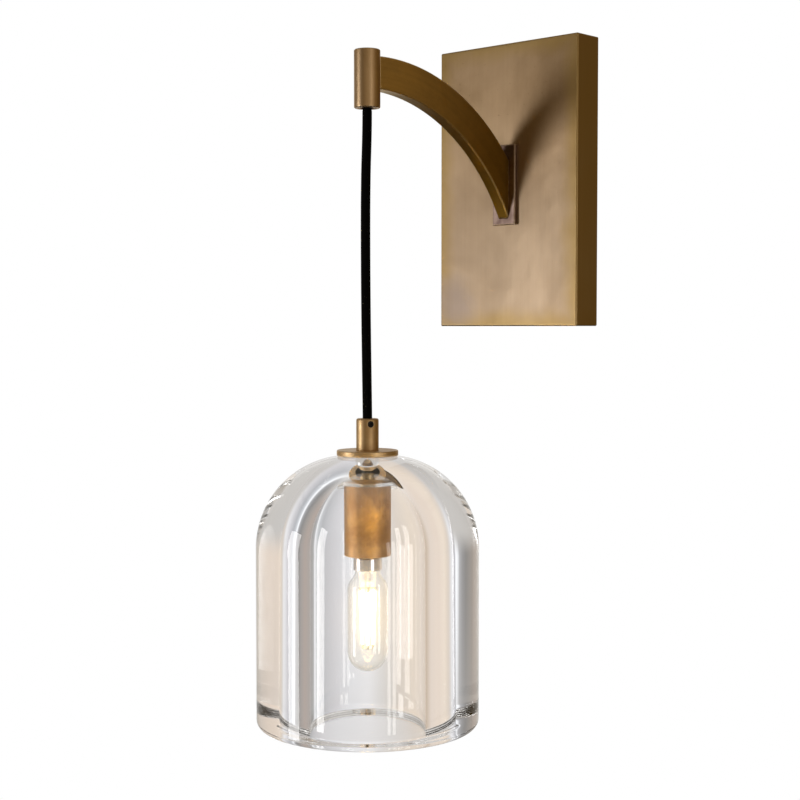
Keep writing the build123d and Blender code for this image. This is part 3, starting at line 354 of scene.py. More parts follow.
@dataclass(frozen=True)
class MetalFinish(Finish):
    """A brushed, turned or plated metal with patina and worn edges, and where asked a painted shade along its lines,
    a paler painted sheen low down, a border and a patch of other tone.
    """

    bright: Colour
    dark: Colour
    stain: Colour
    roughness: float = 0.36
    lines: Lines = Lines.UPRIGHT
    line_depth: float = 0.25
    patina_scale: float = 22.0
    # wear: colour at the edges, rubbed brass with a painted edge highlight.
    wear: Colour = (0.95, 0.78, 0.50)
    edge_width: float = 0.0007
    edge_turn: float = 1.0
    streak: float = 0.3
    # Factor that darkens the tone towards the far end of the lines: painted shade, on the arm towards its foot.
    painted_shade: Optional[Colour] = None
    painted_shade_ends: tuple[float, float] = (-0.01, 0.13)
    blush: Optional[Colour] = None
    blush_place: Point = (0.0, 0.0, 0.0)
    blush_size: float = 0.03
    rim: Optional[Colour] = None
    # low: paler tone towards the plate's bottom, a painted sheen of the light below it.
    low: Optional[Colour] = None
    painted_sheen_ends: tuple[float, float] = (0.07, -0.06)

    def inputs(self, sheet: Sheet, effects: Effects, spot: Socket) -> dict[str, Any]:
        """Metal's tone, roughness and lines, with the arguments and result of the plain finish."""
        vector = spot
        if self.lines is Lines.ARM:
            vector = effects.place(sheet, effects.arc_lines, Vector=spot)
        elif self.lines is Lines.TURNED:
            vector = effects.place(sheet, effects.turned_lines, Vector=self.centred(sheet, spot))
        grain = effects.place(sheet, effects.grain, Vector=vector).outputs
        patina = effects.place(sheet, effects.patina, Vector=spot, Scale=self.patina_scale).outputs
        edge = effects.place(sheet, effects.edge_wear_and_highlight, Width=self.edge_width, Turn=self.edge_turn).outputs
        tone = sheet.blend(patina["Cloud"], self.bright, self.dark)
        tone = sheet.blend(sheet.times(patina["Spots"], 0.35), tone, self.stain)
        # Darker towards the far end of the lines: painted shade.
        if self.painted_shade:
            share = sheet.ramp(sheet.split(vector)[2], *self.painted_shade_ends)
            tone = sheet.blend(share, tone, sheet.vector("MULTIPLY", tone, self.painted_shade))
        if self.rim:
            border = effects.place(sheet, effects.border, Vector=spot)
            # Paler towards the bottom: painted sheen of the light below.
            tone = sheet.blend(sheet.ramp(sheet.split(spot)[2], *self.painted_sheen_ends), tone, self.low or self.bright)
            tone = sheet.blend(sheet.times(border.outputs[0], 0.75), tone, self.rim)
        if self.blush:
            away = sheet.vector("DISTANCE", spot, self.blush_place).outputs["Value"]
            uneven = sheet.calc("MULTIPLY_ADD", patina["Cloud"], self.blush_size * 0.8, away)
            near = sheet.ramp(uneven, self.blush_size * 1.5, self.blush_size * 0.4)
            tone = sheet.blend(sheet.times(near, 0.7), tone, self.blush)
        lines = sheet.calc("MULTIPLY_ADD", grain["Streak"], self.streak, 1.0 - self.streak / 2)
        brushed = sheet.vector("MULTIPLY", tone, lines)
        rough = sheet.calc("MULTIPLY_ADD", patina["Cloud"], 0.10, self.roughness - 0.05)
        rough = sheet.calc("MULTIPLY_ADD", grain["Value"], 0.12, rough)
        return {
            # Edges take the wear colour: rubbed brass and a painted edge highlight.
            "Base Color": sheet.blend(sheet.times(edge["Mask"], 0.8), brushed, self.wear),
            "Roughness": sheet.calc("MULTIPLY_ADD", edge["Mask"], -0.10, rough, clamp=True),
            "Metallic": 1.0,
            "Normal": sheet.bump(grain["Value"], self.line_depth, 0.00012, Normal=edge["Normal"]),
        }


@dataclass(frozen=True)
class GlassFinish(Finish):
    """Clear glass or silicone, with a faint waviness from the mould."""

    tint: Colour
    ior: float = 1.5
    roughness: float = 0.0
    wave: float = 0.0
    wave_scale: float = 30.0
    glow: float = 0.0
    glow_colour: Colour = (1.0, 0.90, 0.66)

    def inputs(self, sheet: Sheet, effects: Effects, spot: Socket) -> dict[str, Any]:
        """Clear body with a wavy face, with the arguments and result of the plain finish."""
        return {
            "Base Color": rgba(self.tint), "Transmission Weight": 1.0, "IOR": self.ior, "Roughness": self.roughness,
            "Emission Color": rgba(self.glow_colour), "Emission Strength": self.glow,
            "Normal": sheet.bump(sheet.noise(spot, self.wave_scale, 1.0), self.wave, 0.001),
        }


@dataclass(frozen=True)
class MouldedFinish(Finish):
    """Plastic, rubber, resin or wire insulation with a fine moulded texture."""

    colour: Colour
    roughness: float = 0.5
    stripe: Optional[Colour] = None
    grain_scale: float = 900.0
    grain_depth: float = 0.15

    def inputs(self, sheet: Sheet, effects: Effects, spot: Socket) -> dict[str, Any]:
        """Moulded skin, striped where asked, with the arguments and result of the plain finish."""
        fine = sheet.noise(spot, self.grain_scale, 3.0)
        shade = tuple(part * 0.72 for part in self.colour)
        tone = sheet.blend(sheet.noise(spot, 60.0), self.colour, shade)
        if self.stripe:
            bands = sheet.add("ShaderNodeTexWave", {"Vector": spot, "Scale": 55.0}, bands_direction="DIAGONAL")
            tone = sheet.blend(sheet.calc("GREATER_THAN", bands.outputs[1], 0.5), tone, self.stripe)
        return {
            "Base Color": tone, "Roughness": sheet.calc("MULTIPLY_ADD", fine, 0.15, self.roughness - 0.07),
            "Normal": sheet.bump(fine, self.grain_depth, 0.0001),
        }


@dataclass(frozen=True)
class BraidFinish(Finish):
    """Matt fabric braid on a round cord."""

    yarn: Colour = (0.0015, 0.0015, 0.0017)
    gap: Colour = (0.001, 0.001, 0.001)
    fuzz: Colour = (0.004, 0.004, 0.0045)
    strands: float = 16.0
    pitch: float = 0.012

    def inputs(self, sheet: Sheet, effects: Effects, spot: Socket) -> dict[str, Any]:
        """Crossing yarns with a fuzz, with the arguments and result of the plain finish."""
        vector = self.centred(sheet, spot)
        height = effects.place(sheet, effects.braid, Vector=vector, Strands=self.strands, Pitch=self.pitch).outputs[0]
        fuzz = sheet.noise(spot, 5200.0, 3.0)
        tone = sheet.blend(height, self.gap, self.yarn)
        return {
            "Base Color": sheet.blend(sheet.times(fuzz, 0.25), tone, self.fuzz),
            "Roughness": 0.92, "Specular IOR Level": 0.08, "Sheen Weight": 0.02,
            "Normal": sheet.bump(sheet.calc("MULTIPLY_ADD", fuzz, 0.3, height), 0.9, 0.0003),
        }


@dataclass(frozen=True)
class GlowFinish(Finish):
    """Lit phosphor strip of the lamp."""

    colour: Colour = (1.0, 0.62, 0.26)
    unlit: Colour = (0.85, 0.70, 0.25)
    strength: float = 420.0

    def inputs(self, sheet: Sheet, effects: Effects, spot: Socket) -> dict[str, Any]:
        """Uneven glow, with the arguments and result of the plain finish."""
        paler = tuple(min(1.0, part * 1.25) for part in self.colour)
        return {
            "Base Color": rgba(self.unlit), "Roughness": 0.6, "Emission Strength": self.strength,
            "Emission Color": sheet.blend(sheet.noise(spot, 900.0), self.colour, paler),
        }


class Finishes:
    """Every material of the sconce, by the name of its slot."""

    def __init__(self, effects: Effects) -> None:
        """Build all the materials.

        Args:
            effects: The shared shader groups.
        """
        # Each brass part has a tone of its own: lighter and darker copies of one brass, so the differences between
        # plate, foot, arm, tube, cup and grip are painted light and shade.
        plate = (0.43, 0.305, 0.185), (0.33, 0.225, 0.125), (0.10, 0.06, 0.03)
        foot = (0.27, 0.195, 0.165), (0.15, 0.10, 0.085), (0.06, 0.04, 0.03)
        stain = (0.36, 0.22, 0.09)
        gold = (0.66, 0.48, 0.27), (0.52, 0.35, 0.18), stain
        upright, turned, plain = Lines.UPRIGHT, Lines.TURNED, Lines.PLAIN
        made = [
            # The plate is paler towards its bottom (low), a painted sheen, and its edges carry a painted highlight.
            MetalFinish("aged_brass", *plate, 0.44, upright, 0.3, 13.0, wear=(0.66, 0.50, 0.25),
                        edge_width=0.0017, edge_turn=0.3, streak=0.12, rim=(0.385, 0.262, 0.095),
                        low=(0.44, 0.335, 0.235), blush=(0.29, 0.235, 0.205),
                        blush_place=(-0.048, -0.023, -0.080), blush_size=0.024),
            MetalFinish("foot_brass", *foot, 0.36, upright, 0.25, 60.0, wear=(0.95, 0.75, 0.50), edge_width=0.0008),
            # The arm's tone darkens towards its foot: painted shade near the plate.
            MetalFinish("arm_brass", (0.70, 0.50, 0.22), (0.54, 0.37, 0.14), stain, 0.36, Lines.ARM, 0.25, 30.0,
                        edge_width=0.0012, painted_shade=(0.50, 0.42, 0.16)),
            MetalFinish("tube_brass", (0.60, 0.43, 0.26), (0.48, 0.33, 0.18), stain, 0.34, upright, 0.25, 50.0,
                        streak=0.7),
            MetalFinish("cup_brass", (0.36, 0.235, 0.13), (0.27, 0.145, 0.055), (0.50, 0.25, 0.05), 0.50, upright,
                        0.15, 48.0, streak=0.5, blush=(0.70, 0.37, 0.06), blush_place=(0.0118, -0.1688, -0.222),
                        blush_size=0.017),
            MetalFinish("bright_brass", *gold, 0.42, upright, 0.15, 60.0, streak=0.6),
            MetalFinish("turned_brass", *gold, 0.40, turned, 0.2, 60.0),
            MetalFinish("black_steel", (0.03, 0.03, 0.03), (0.02, 0.02, 0.02), (0.01, 0.01, 0.01), 0.4, plain,
                        0.1, 60.0, wear=(0.1, 0.1, 0.1)),
            MetalFinish("plated_steel", (0.62, 0.62, 0.60), (0.48, 0.48, 0.46), (0.35, 0.35, 0.33), 0.32, plain,
                        0.1, 70.0, wear=(0.8, 0.8, 0.78)),
            MetalFinish("contact_brass", (0.78, 0.60, 0.30), (0.66, 0.48, 0.22), stain, 0.3, plain, 0.1),
            MetalFinish("lamp_cap_metal", (0.80, 0.76, 0.72), (0.70, 0.66, 0.62), (0.45, 0.42, 0.38), 0.16, turned,
                        0.06, 90.0, wear=(0.9, 0.88, 0.85)),
            GlassFinish("crystal_glass", (0.992, 0.994, 0.992), 1.5, 0.0, 0.002, 26.0),
            GlassFinish("lamp_glass", (0.99, 0.985, 0.97), 1.5, 0.0, 0.01, 60.0, glow=0.022),
            GlassFinish("clear_silicone", (0.93, 0.93, 0.91), 1.41, 0.12, 0.05, 200.0),
            GlassFinish("lamp_seal", (0.97, 0.96, 0.93), 1.5, 0.05, 0.1, 300.0),
            MouldedFinish("black_rubber", (0.02, 0.02, 0.02), 0.65),
            MouldedFinish("brown_insulation", (0.13, 0.055, 0.02), 0.4),
            MouldedFinish("blue_insulation", (0.02, 0.07, 0.35), 0.4),
            MouldedFinish("striped_insulation", (0.10, 0.32, 0.04), 0.4, (0.75, 0.62, 0.03)),
            MouldedFinish("white_nylon", (0.82, 0.82, 0.78), 0.45),
            MouldedFinish("dark_resin", (0.045, 0.035, 0.03), 0.4),
            BraidFinish("black_braid"),
            GlowFinish("lit_filament"),
        ]
        self.materials = {finish.name: finish.build(effects) for finish in made}

    def __getitem__(self, name: str) -> bpy.types.Material:
        """The material of that name."""
        return self.materials[name]


# ------------------------------------------------------------------------------ shape trees
class ShapeTrees:
    """Geometry node trees that turn profiles and repeat small pieces, each built once."""

    def __init__(self) -> None:
        """Build every tree."""
        self.turned = self._turned()
        self.strips = self._strips()
        self.specks = self._specks()
        self.screws = self._screws()

    @staticmethod
    def start(name: str, seed: str, **inputs: float) -> Sheet:
        """Start a tree that reads a seed mesh.

        Args:
            name: Name of the tree.
            seed: Name of the mesh's socket.
            inputs: Defaults by input name, with _ for a space.

        Returns:
            The tree's sheet.
        """
        sizes = {label.replace("_", " "): value for label, value in inputs.items()}
        return Sheet.group(name, SHAPE_TREE, {seed: GEOMETRY, **sizes, "Material": MATERIAL}, {"Geometry": GEOMETRY})

    @staticmethod
    def finish(sheet: Sheet, shape: Any) -> Tree:
        """Close a tree with smooth shading, Realize Instances and Set Material.

        Args:
            sheet: The tree's sheet.
            shape: The geometry so far.

        Returns:
            The tree.
        """
        smooth = sheet.add("GeometryNodeSetShadeSmooth", {"Geometry": shape})
        real = sheet.add("GeometryNodeRealizeInstances", {"Geometry": smooth})
        inputs = {"Geometry": real, "Material": sheet.given["Material"]}
        return sheet.give(Geometry=sheet.add("GeometryNodeSetMaterial", inputs))

    @classmethod
    def _turned(cls) -> Tree:
        """Turns a closed (radius, height) outline about an upright axis, with a thread where asked."""
        sheet = cls.start(
            "turned", "Outline", Segments=96, Axis_Y=0.0, Thread_Depth=0.0, Thread_Pitch=0.001, Thread_Low=0.0,
            Thread_High=0.0, Thread_Over=0.0,
        )
        given, calc, times = sheet.given, sheet.calc, sheet.times
        size = sheet.add("GeometryNodeAttributeDomainSize", {"Geometry": given["Outline"]})
        count = size.outputs["Point Count"]
        rows = calc("ADD", count, 1.0)
        grid = sheet.add("GeometryNodeMeshGrid", {"Vertices X": calc("ADD", given["Segments"], 1.0), "Vertices Y": rows})
        index = sheet.add("GeometryNodeInputIndex").outputs[0]
        column = calc("FLOOR", calc("DIVIDE", calc("ADD", index, 0.5), rows))
        row = calc("MODULO", calc("SUBTRACT", index, times(column, rows)), count)
        inputs = {"Geometry": given["Outline"], "Value": sheet.add("GeometryNodeInputPosition"), "Index": calc("ROUND", row)}
        radius, _, height = sheet.split(sheet.add("GeometryNodeSampleIndex", data_type="FLOAT_VECTOR", inputs=inputs))
        angle = calc("DIVIDE", times(column, math.tau), given["Segments"])
        wind = calc("DIVIDE", times(height, math.tau), given["Thread Pitch"])
        groove = calc("MULTIPLY_ADD", calc("COSINE", calc("SUBTRACT", angle, wind)), -0.5, 0.5)
        above = calc("GREATER_THAN", height, given["Thread Low"])
        below = calc("LESS_THAN", height, given["Thread High"])
        outside = calc("GREATER_THAN", radius, given["Thread Over"])
        gate = times(times(above, below), outside)
        reach = calc("SUBTRACT", radius, times(times(groove, gate), given["Thread Depth"]))
        y = calc("ADD", times(reach, calc("SINE", angle)), given["Axis Y"])
        moved = sheet.join(times(reach, calc("COSINE", angle)), y, height)
        put = sheet.add("GeometryNodeSetPosition", {"Geometry": grid, "Position": moved})
        return cls.finish(sheet, sheet.add("GeometryNodeMergeByDistance", {"Geometry": put, "Distance": 0.000002}))

    @classmethod
    def _strips(cls) -> Tree:
        """Leaning round strips in a ring about an upright axis. The seed takes the piece's own mesh."""
        sheet = cls.start(
            "strips", "Seed", Count=4, Axis_Y=0.0, High_Radius=0.005, High_Z=0.0, Low_Radius=0.003, Low_Z=-0.03,
            Strip_Radius=0.0009,
        )
        given = sheet.given
        high, low = (sheet.join(given[f"{end} Radius"], 0.0, given[f"{end} Z"]) for end in ("High", "Low"))
        line = sheet.add("GeometryNodeCurvePrimitiveLine", {"Start": high, "End": low})
        ring = sheet.add("GeometryNodeCurvePrimitiveCircle", {"Resolution": 16, "Radius": given["Strip Radius"]})
        strip = sheet.add("GeometryNodeCurveToMesh", {"Curve": line, "Profile Curve": ring, "Fill Caps": True})
        axis = sheet.join(0.0, given["Axis Y"])
        points = sheet.add("GeometryNodePoints", {"Count": given["Count"], "Position": axis})
        index = sheet.add("GeometryNodeInputIndex")
        turn = sheet.calc("DIVIDE", sheet.times(sheet.calc("ADD", index, 0.5), math.tau), given["Count"])
        copies = {"Points": points, "Instance": strip, "Rotation": sheet.join(0.0, 0.0, turn)}
        return cls.finish(sheet, sheet.add("GeometryNodeInstanceOnPoints", copies))

    @classmethod
    def _specks(cls) -> Tree:
        """Small beads of braze scattered along the seed's points."""
        sheet = cls.start("specks", "Line", Bead_Radius=0.0002, Scatter=0.0004, Seed=7)
        given = sheet.given
        back, on, seed = sheet.times(given["Scatter"], -1.0), given["Scatter"], given["Seed"]
        ends = {0: sheet.join(0.0, back, back), 1: sheet.join(0.0, on, on), "Seed": seed}
        offset = sheet.add("FunctionNodeRandomValue", data_type="FLOAT_VECTOR", inputs=ends)
        moved = sheet.add("GeometryNodeSetPosition", {"Geometry": given["Line"], "Offset": offset})
        bead = sheet.add("GeometryNodeMeshIcoSphere", {"Radius": given["Bead Radius"], "Subdivisions": 2})
        size = sheet.add("FunctionNodeRandomValue", {2: 0.35, 3: 1.2, "Seed": seed}, data_type="FLOAT").outputs[1]
        copies = {"Points": moved, "Instance": bead, "Scale": size}
        return cls.finish(sheet, sheet.add("GeometryNodeInstanceOnPoints", copies))

    @classmethod
    def _screws(cls) -> Tree:
        """Socket-headed screws at the points, each with its head facing along the point's facing vector."""
        sheet = cls.start(
            "screws", "Places", Shank_Radius=0.002, Length=0.006, Seat_Radius=0.0035, Head_Radius=0.0035,
            Head_Height=0.0024, Socket_Radius=0.0013, Socket_Depth=0.0012,
        )
        given = sheet.given
        head = sheet.add("GeometryNodeMeshCone", {
            "Vertices": 48, "Radius Top": given["Head Radius"], "Radius Bottom": given["Seat Radius"],
            "Depth": given["Head Height"],
        })
        depth = sheet.times(given["Socket Depth"], 2.0)
        pit = sheet.add("GeometryNodeMeshCylinder", {"Vertices": 6, "Radius": given["Socket Radius"], "Depth": depth})
        lift = sheet.join(0.0, 0.0, given["Head Height"])
        raised = sheet.add("GeometryNodeTransform", {"Geometry": pit, "Translation": lift})
        cut = sheet.add("GeometryNodeMeshBoolean", {0: head, 1: raised}, operation="DIFFERENCE", solver="EXACT")
        shank = sheet.add("GeometryNodeMeshCylinder", {
            "Vertices": 32, "Radius": given["Shank Radius"], "Depth": given["Length"],
        })
        drop = sheet.join(0.0, 0.0, sheet.times(given["Length"], -0.5))
        lowered = sheet.add("GeometryNodeTransform", {"Geometry": shank, "Translation": drop})
        both = sheet.add("GeometryNodeJoinGeometry", {0: cut})
        sheet.feed(both, {0: lowered})
        facing = sheet.add("GeometryNodeInputNamedAttribute", {"Name": "facing"}, data_type="FLOAT_VECTOR")
        turn = sheet.add("FunctionNodeAlignRotationToVector", {"Vector": facing}, axis="Z")
        copies = {"Points": given["Places"], "Instance": both, "Rotation": turn}
        return cls.finish(sheet, sheet.add("GeometryNodeInstanceOnPoints", copies))


def grow(name: str, seed: bpy.types.Mesh, tree: Tree, values: dict[str, Any]) -> bpy.types.Object:
    """Run a shape tree on a seed mesh and keep the result as a plain mesh.

    Args:
        name: Name of the finished object.
        seed: Mesh that the tree starts from.
        tree: The geometry node tree.
        values: Inputs by their names.

    Returns:
        The finished object, at the origin.
    """
    piece = bpy.data.objects.new(name, seed)
    modifier = piece.modifiers.new("shape", "NODES")
    modifier.node_group = tree
    for socket in tree.interface.items_tree:
        if socket.item_type == "SOCKET" and socket.in_out == "INPUT" and socket.name in values:
            modifier[socket.identifier] = values[socket.name]
    bpy.context.scene.collection.objects.link(piece)
    graph = bpy.context.evaluated_depsgraph_get()
    mesh = bpy.data.meshes.new_from_object(piece.evaluated_get(graph))
    piece.modifiers.remove(modifier)
    piece.data = mesh
    mesh.name = name
    bpy.data.meshes.remove(seed)
    work = bmesh.new()
    work.from_mesh(mesh)
    bmesh.ops.remove_doubles(work, verts=work.verts, dist=1e-7)
    bmesh.ops.recalc_face_normals(work, faces=work.faces)
    work.to_mesh(mesh)
    work.free()
    mesh.set_sharp_from_angle(angle=math.radians(38))
    LOG.info("built %s: %d faces", name, len(mesh.polygons))
    return piece


def outline_mesh(outline: Profile) -> bpy.types.Mesh:
    """Closed outline as a ring of edges, with radius as x and height as z."""
    count = len(outline)
    mesh = bpy.data.meshes.new("outline")
    mesh.from_pydata([(r, 0.0, z) for r, z in outline], [(i, (i + 1) % count) for i in range(count)], [])
    return mesh


def point_mesh(places: Sequence[Point], facing: Optional[Sequence[Point]] = None) -> bpy.types.Mesh:
    """Loose points, with the way that each faces.

    Args:
        places: The points.
        facing: A direction for each point, or None.

    Returns:
        The mesh.
    """
    mesh = bpy.data.meshes.new("places")
    mesh.from_pydata([tuple(place) for place in places], [], [])
    if facing:
        layer = mesh.attributes.new("facing", "FLOAT_VECTOR", "POINT")
        for item, direction in zip(layer.data, facing):
            item.vector = direction
    return mesh


def arc(centre: tuple[float, float], radius: float, first: float, last: float, steps: int) -> Profile:
    """Points of an arc in an outline.

    Args:
        centre: (radius, height) of the arc's middle.
        radius: Its radius.
        first: Angle of the first point, in degrees from straight out.
        last: Angle of the last point.
        steps: Number of steps between them.

    Returns:
        The points, both ends among them.
    """
    turns = [math.radians(first + (last - first) * i / steps) for i in range(steps + 1)]
    return [(centre[0] + radius * math.cos(t), centre[1] + radius * math.sin(t)) for t in turns]


def ladder(radius: float, first: float, last: float, step: float) -> Profile:
    """Points one above another in an outline, at most a step apart."""
    count = max(1, math.ceil(abs(last - first) / step))
    return [(radius, first + (last - first) * i / count) for i in range(count + 1)]


def heights(node: str) -> tuple[float, float]:
    """Lowest and highest place of a node."""
    low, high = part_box(node)
    return low[2], high[2]


def wear(piece: bpy.types.Object, body: str, slot: str, *nodes: str) -> None:
    """Tie a finished piece to its body, and hide the nodes that it stands for.

    Args:
        piece: The finished piece.
        body: The body that it rides on.
        slot: The record's material slot, which it doesn't use.
        nodes: Names of the nodes that it replaces, if any.
    """
    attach(piece, body)
    if nodes:
        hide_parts(*nodes)


# ------------------------------------------------------------------------------ sub-assemblies
@dataclass
class Assembly:
    """A sub-assembly, with the materials and the shape trees that its pieces need."""

    finishes: Finishes
    trees: ShapeTrees

    def dress(self, **nodes: str) -> None:
        """Give carried-over nodes their material.

        Args:
            nodes: Names of the nodes in one string, by the material's name.
        """
        for finish, names in nodes.items():
            for node in names.split():
                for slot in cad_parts[node].material_slots:
                    slot.material = self.finishes[finish]
            LOG.info("dressed %s with %s", names, finish)

    def turn(self, name: str, outline: Profile, segments: int, body: str, node: str, finish: str,
             slot: Optional[str] = None, casts: bool = True, **thread: float) -> None:
        """Turn an outline about the lamp's axis into the piece that replaces a node.

        Args:
            name: Name of the piece.
            outline: Its closed outline.
            segments: Number of steps round it.
            body: The body that it rides on.
            node: The node that it replaces.
            finish: The material's name.
            slot: The record's slot, where it isn't the material's name.
            casts: Whether it casts a shadow.
            thread: Depth, pitch, low end, high end and least radius of its thread.
        """
        values = {"Segments": segments, "Axis Y": AXIS_Y, "Material": self.finishes[finish]}
        values.update({f"Thread {label.title()}": value for label, value in thread.items()})
        piece = grow(name, outline_mesh(outline), self.trees.turned, values)
        piece.visible_shadow = casts
        wear(piece, body, slot or finish, node)


@dataclass
class HangingCord(Assembly):
    """Fabric cord between the arm and the grip."""

    radius: float = 0.003
    bow: Point = (-0.0008, -0.00075, 0.0)

    def build(self) -> None:
        """Make the cord's spline and dress the pieces on it."""
        low, high = heights("cord")
        x, y = self.bow[0], AXIS_Y + self.bow[1]
        route = [
            (0.0, AXIS_Y, high), (0.0, AXIS_Y, high - 0.012), (x, y, high - 0.045), (x, y, (low + high) / 2),
            (x / 2, AXIS_Y + self.bow[1] / 2, low + 0.050), (0.0, AXIS_Y, low + 0.014), (0.0, AXIS_Y, low),
        ]
        curve = bpy.data.curves.new("hanging_flex", "CURVE")
        curve.dimensions = "3D"
        curve.bevel_depth = self.radius
        curve.bevel_resolution = 7
        curve.use_fill_caps = True
        curve.resolution_u = 24
        spline = curve.splines.new("NURBS")
        spline.points.add(len(route) - 1)
        for point, place in zip(spline.points, route):
            point.co = (*place, 1.0)
        spline.order_u = 3
        spline.use_endpoint_u = True
        curve.materials.append(self.finishes["black_braid"])
        piece = bpy.data.objects.new("hanging_flex", curve)
        bpy.context.scene.collection.objects.link(piece)
        wear(piece, "hanging_cord", "black_braid", "cord")
        self.dress(black_braid="cord_knuckle cord_tail")
        LOG.info("built the hanging cord")


@dataclass(frozen=True)
class Screw:
    """Sizes of a socket-headed screw."""

    shank: float
    length: float
    seat: float
    head: float
    height: float
    socket: float
    socket_share: float = 0.55


@dataclass
class WallPlate(Assembly):
    """Brass cover with its steel strap, terminal block, wires and screws."""

    cover_screw_y: float = -0.009
    foot_screw_y: float = -0.021
    foot_screw_inset: float = 0.0035
    block_screw: Point = (0.005, -0.015, -0.022)
    earth_screw: Point = (0.0, -0.002, -0.038)

    def build(self) -> None:
        """Dress the plate and make its screws."""
        self.dress(
            aged_brass="backplate_cover", plated_steel="wall_bracket terminal_screws", white_nylon="terminal_block",
            contact_brass="terminal_inserts", black_rubber="wire_grommet", brown_insulation="live_lead",
            blue_insulation="neutral_lead", striped_insulation="earth_lead",
        )
        cover = Screw(0.0015, 0.00435, 0.0015, 0.00275, 0.00165, 0.00115)
        z = heights("backplate_cover")[1] - cover.height
        places = [(0.0, self.cover_screw_y, z), (0.0, self.cover_screw_y, -z)]
        self._screws("plate_screws", "aged_brass", "cover_screws", places, [(0, 0, 1), (0, 0, -1)], cover)
        z = heights("foot_screws")[1] - self.foot_screw_inset
        places = [(0.0, self.foot_screw_y, z), (0.0, self.foot_screw_y, -z)]
        self._screws("arm_screws", "plated_steel", "foot_screws", places, [(0, 1, 0)] * 2,
                     Screw(0.002, 0.0043, 0.0035, 0.0030, 0.0024, 0.0014))
        x, y, z = self.block_screw
        self._screws("block_screws", "plated_steel", "terminal_block_screws", [(x, y, z), (-x, y, z)],
                     [(0, -1, 0)] * 2, Screw(0.00125, 0.0147, 0.0022, 0.0019, 0.0016, 0.0009))
        self._screws("ground_screw", "plated_steel", "earth_screw", [self.earth_screw], [(0, -1, 0)],
                     Screw(0.002, 0.0017, 0.0035, 0.0030, 0.0024, 0.0014))

    def _screws(self, name: str, finish: str, node: str, places: Sequence[Point], facing: Sequence[Point],
                screw: Screw) -> None:
        """Make one group of screws.

        Args:
            name: Name of the piece.
            finish: Name of the material.
            node: The node that the screws replace.
            places: Middle of the underside of each head.
            facing: The way that each head faces.
            screw: Their sizes.
        """
        wear(grow(name, point_mesh(places, facing), self.trees.screws, {
            "Shank Radius": screw.shank, "Length": screw.length, "Seat Radius": screw.seat,
            "Head Radius": screw.head, "Head Height": screw.height, "Socket Radius": screw.socket,
            "Socket Depth": screw.height * screw.socket_share, "Material": self.finishes[finish],
        }), "root", finish, node)


@dataclass
class Arm(Assembly):
    """Foot, curved arm and the tube that the cord hangs from."""

    bead_radius: float = 0.00022
    bead_count: int = 26
    bead_scatter: float = 0.0004
    bead_x: float = 0.0046
    bead_ends: tuple[float, float] = (-0.013, 0.014)

    def build(self) -> None:
        """Dress the arm and add the traces of its brazing."""
        self.dress(
            arm_brass="curved_arm", foot_brass="arm_foot", tube_brass="arm_end_tube", turned_brass="cord_bush",
            plated_steel="cord_bush_screw",
        )
        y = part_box("arm_foot")[0][1] - self.bead_scatter
        line = [(side * x, y, z) for side in (1, -1) for x, z in ladder_between(self.bead_x, *self.bead_ends, self.bead_count)]
        beads = grow("braze_beads", point_mesh(line), self.trees.specks, {
            "Bead Radius": self.bead_radius, "Scatter": self.bead_scatter, "Seed": 11,
            "Material": self.finishes["bright_brass"],
        })
        wear(beads, "root", "bright_brass")


def ladder_between(radius: float, first: float, last: float, count: int) -> Profile:
    """A count of points one above another, both ends among them."""
    return [(radius, first + (last - first) * i / (count - 1)) for i in range(count)]


@dataclass
class GlassBell(Assembly):
    """Thick clear bell with its disc, grip, gasket and washer."""

    radius: float = 0.070
    top_flat: float = 0.0121
    bore: float = 0.0365
    dome_rise: float = 0.040
    crown: float = 0.0198
    neck: float = 0.0065
    outer_round: float = 0.005
    inner_round: float = 0.002
    segments: int = 288
    seat_hole: float = 0.0052
    seat_lip: float = 0.0012
    seat_gap: float = 0.00006
    cup_radius: float = 0.0147

    def outline(self) -> Profile:
        """Closed outline of the glass, from the neck's top outwards and back up the bore."""
        low, high = heights("glass_shade")
        shoulder = self.radius - self.top_flat
        points = [(self.neck, high)]
        points += arc((self.top_flat, high - shoulder), shoulder, 90, 0, 72)
        points += arc((self.radius - self.outer_round, low + self.outer_round), self.outer_round, 0, -90, 20)
        points += arc((self.bore + self.inner_round, low + self.inner_round), self.inner_round, 270, 180, 12)
        last = math.acos(self.neck / self.bore)
        radii = [self.bore * math.cos(last * i / 64) for i in range(1, 65)]
        return points + [(radius, self.dome(radius)) for radius in radii]

    def dome(self, radius: float) -> float:
        """Height of the bore's half-oval dome at a radius."""
        ceiling = heights("glass_shade")[1] - self.crown
        return ceiling - self.dome_rise * (1 - math.sqrt(max(0.0, 1 - (radius / self.bore) ** 2)))

    def seat(self) -> Profile:
        """Closed outline of the soft pad under the dome, with its thin lip outside the cup."""
        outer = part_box("seat_washer")[1][0] - self.seat_gap
        low = heights("socket_cup")[1] + self.seat_gap / 2
        radii = [self.seat_hole + (outer - self.seat_hole) * i / 28 for i in range(29)]
        points = [(radius, self.dome(radius) - self.seat_gap) for radius in radii]
        points += [(radius, self.dome(radius) - self.seat_lip) for radius in radii[::-1] if radius > self.cup_radius]
        return points + [(self.cup_radius - 0.0004, low), (self.seat_hole, low)]

    def build(self) -> None:
        """Make the bell and dress what holds it."""
        self.turn("glass_bell", self.outline(), self.segments, "pendant", "glass_shade", "crystal_glass", casts=False)
        self.turn("seat_pad", self.seat(), 128, "pendant", "seat_washer", "clear_silicone", casts=False)
        self.dress(
            bright_brass="cord_grip", turned_brass="cap_disc", black_steel="grip_screw", clear_silicone="top_gasket",
        )
        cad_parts["top_gasket"].visible_shadow = False


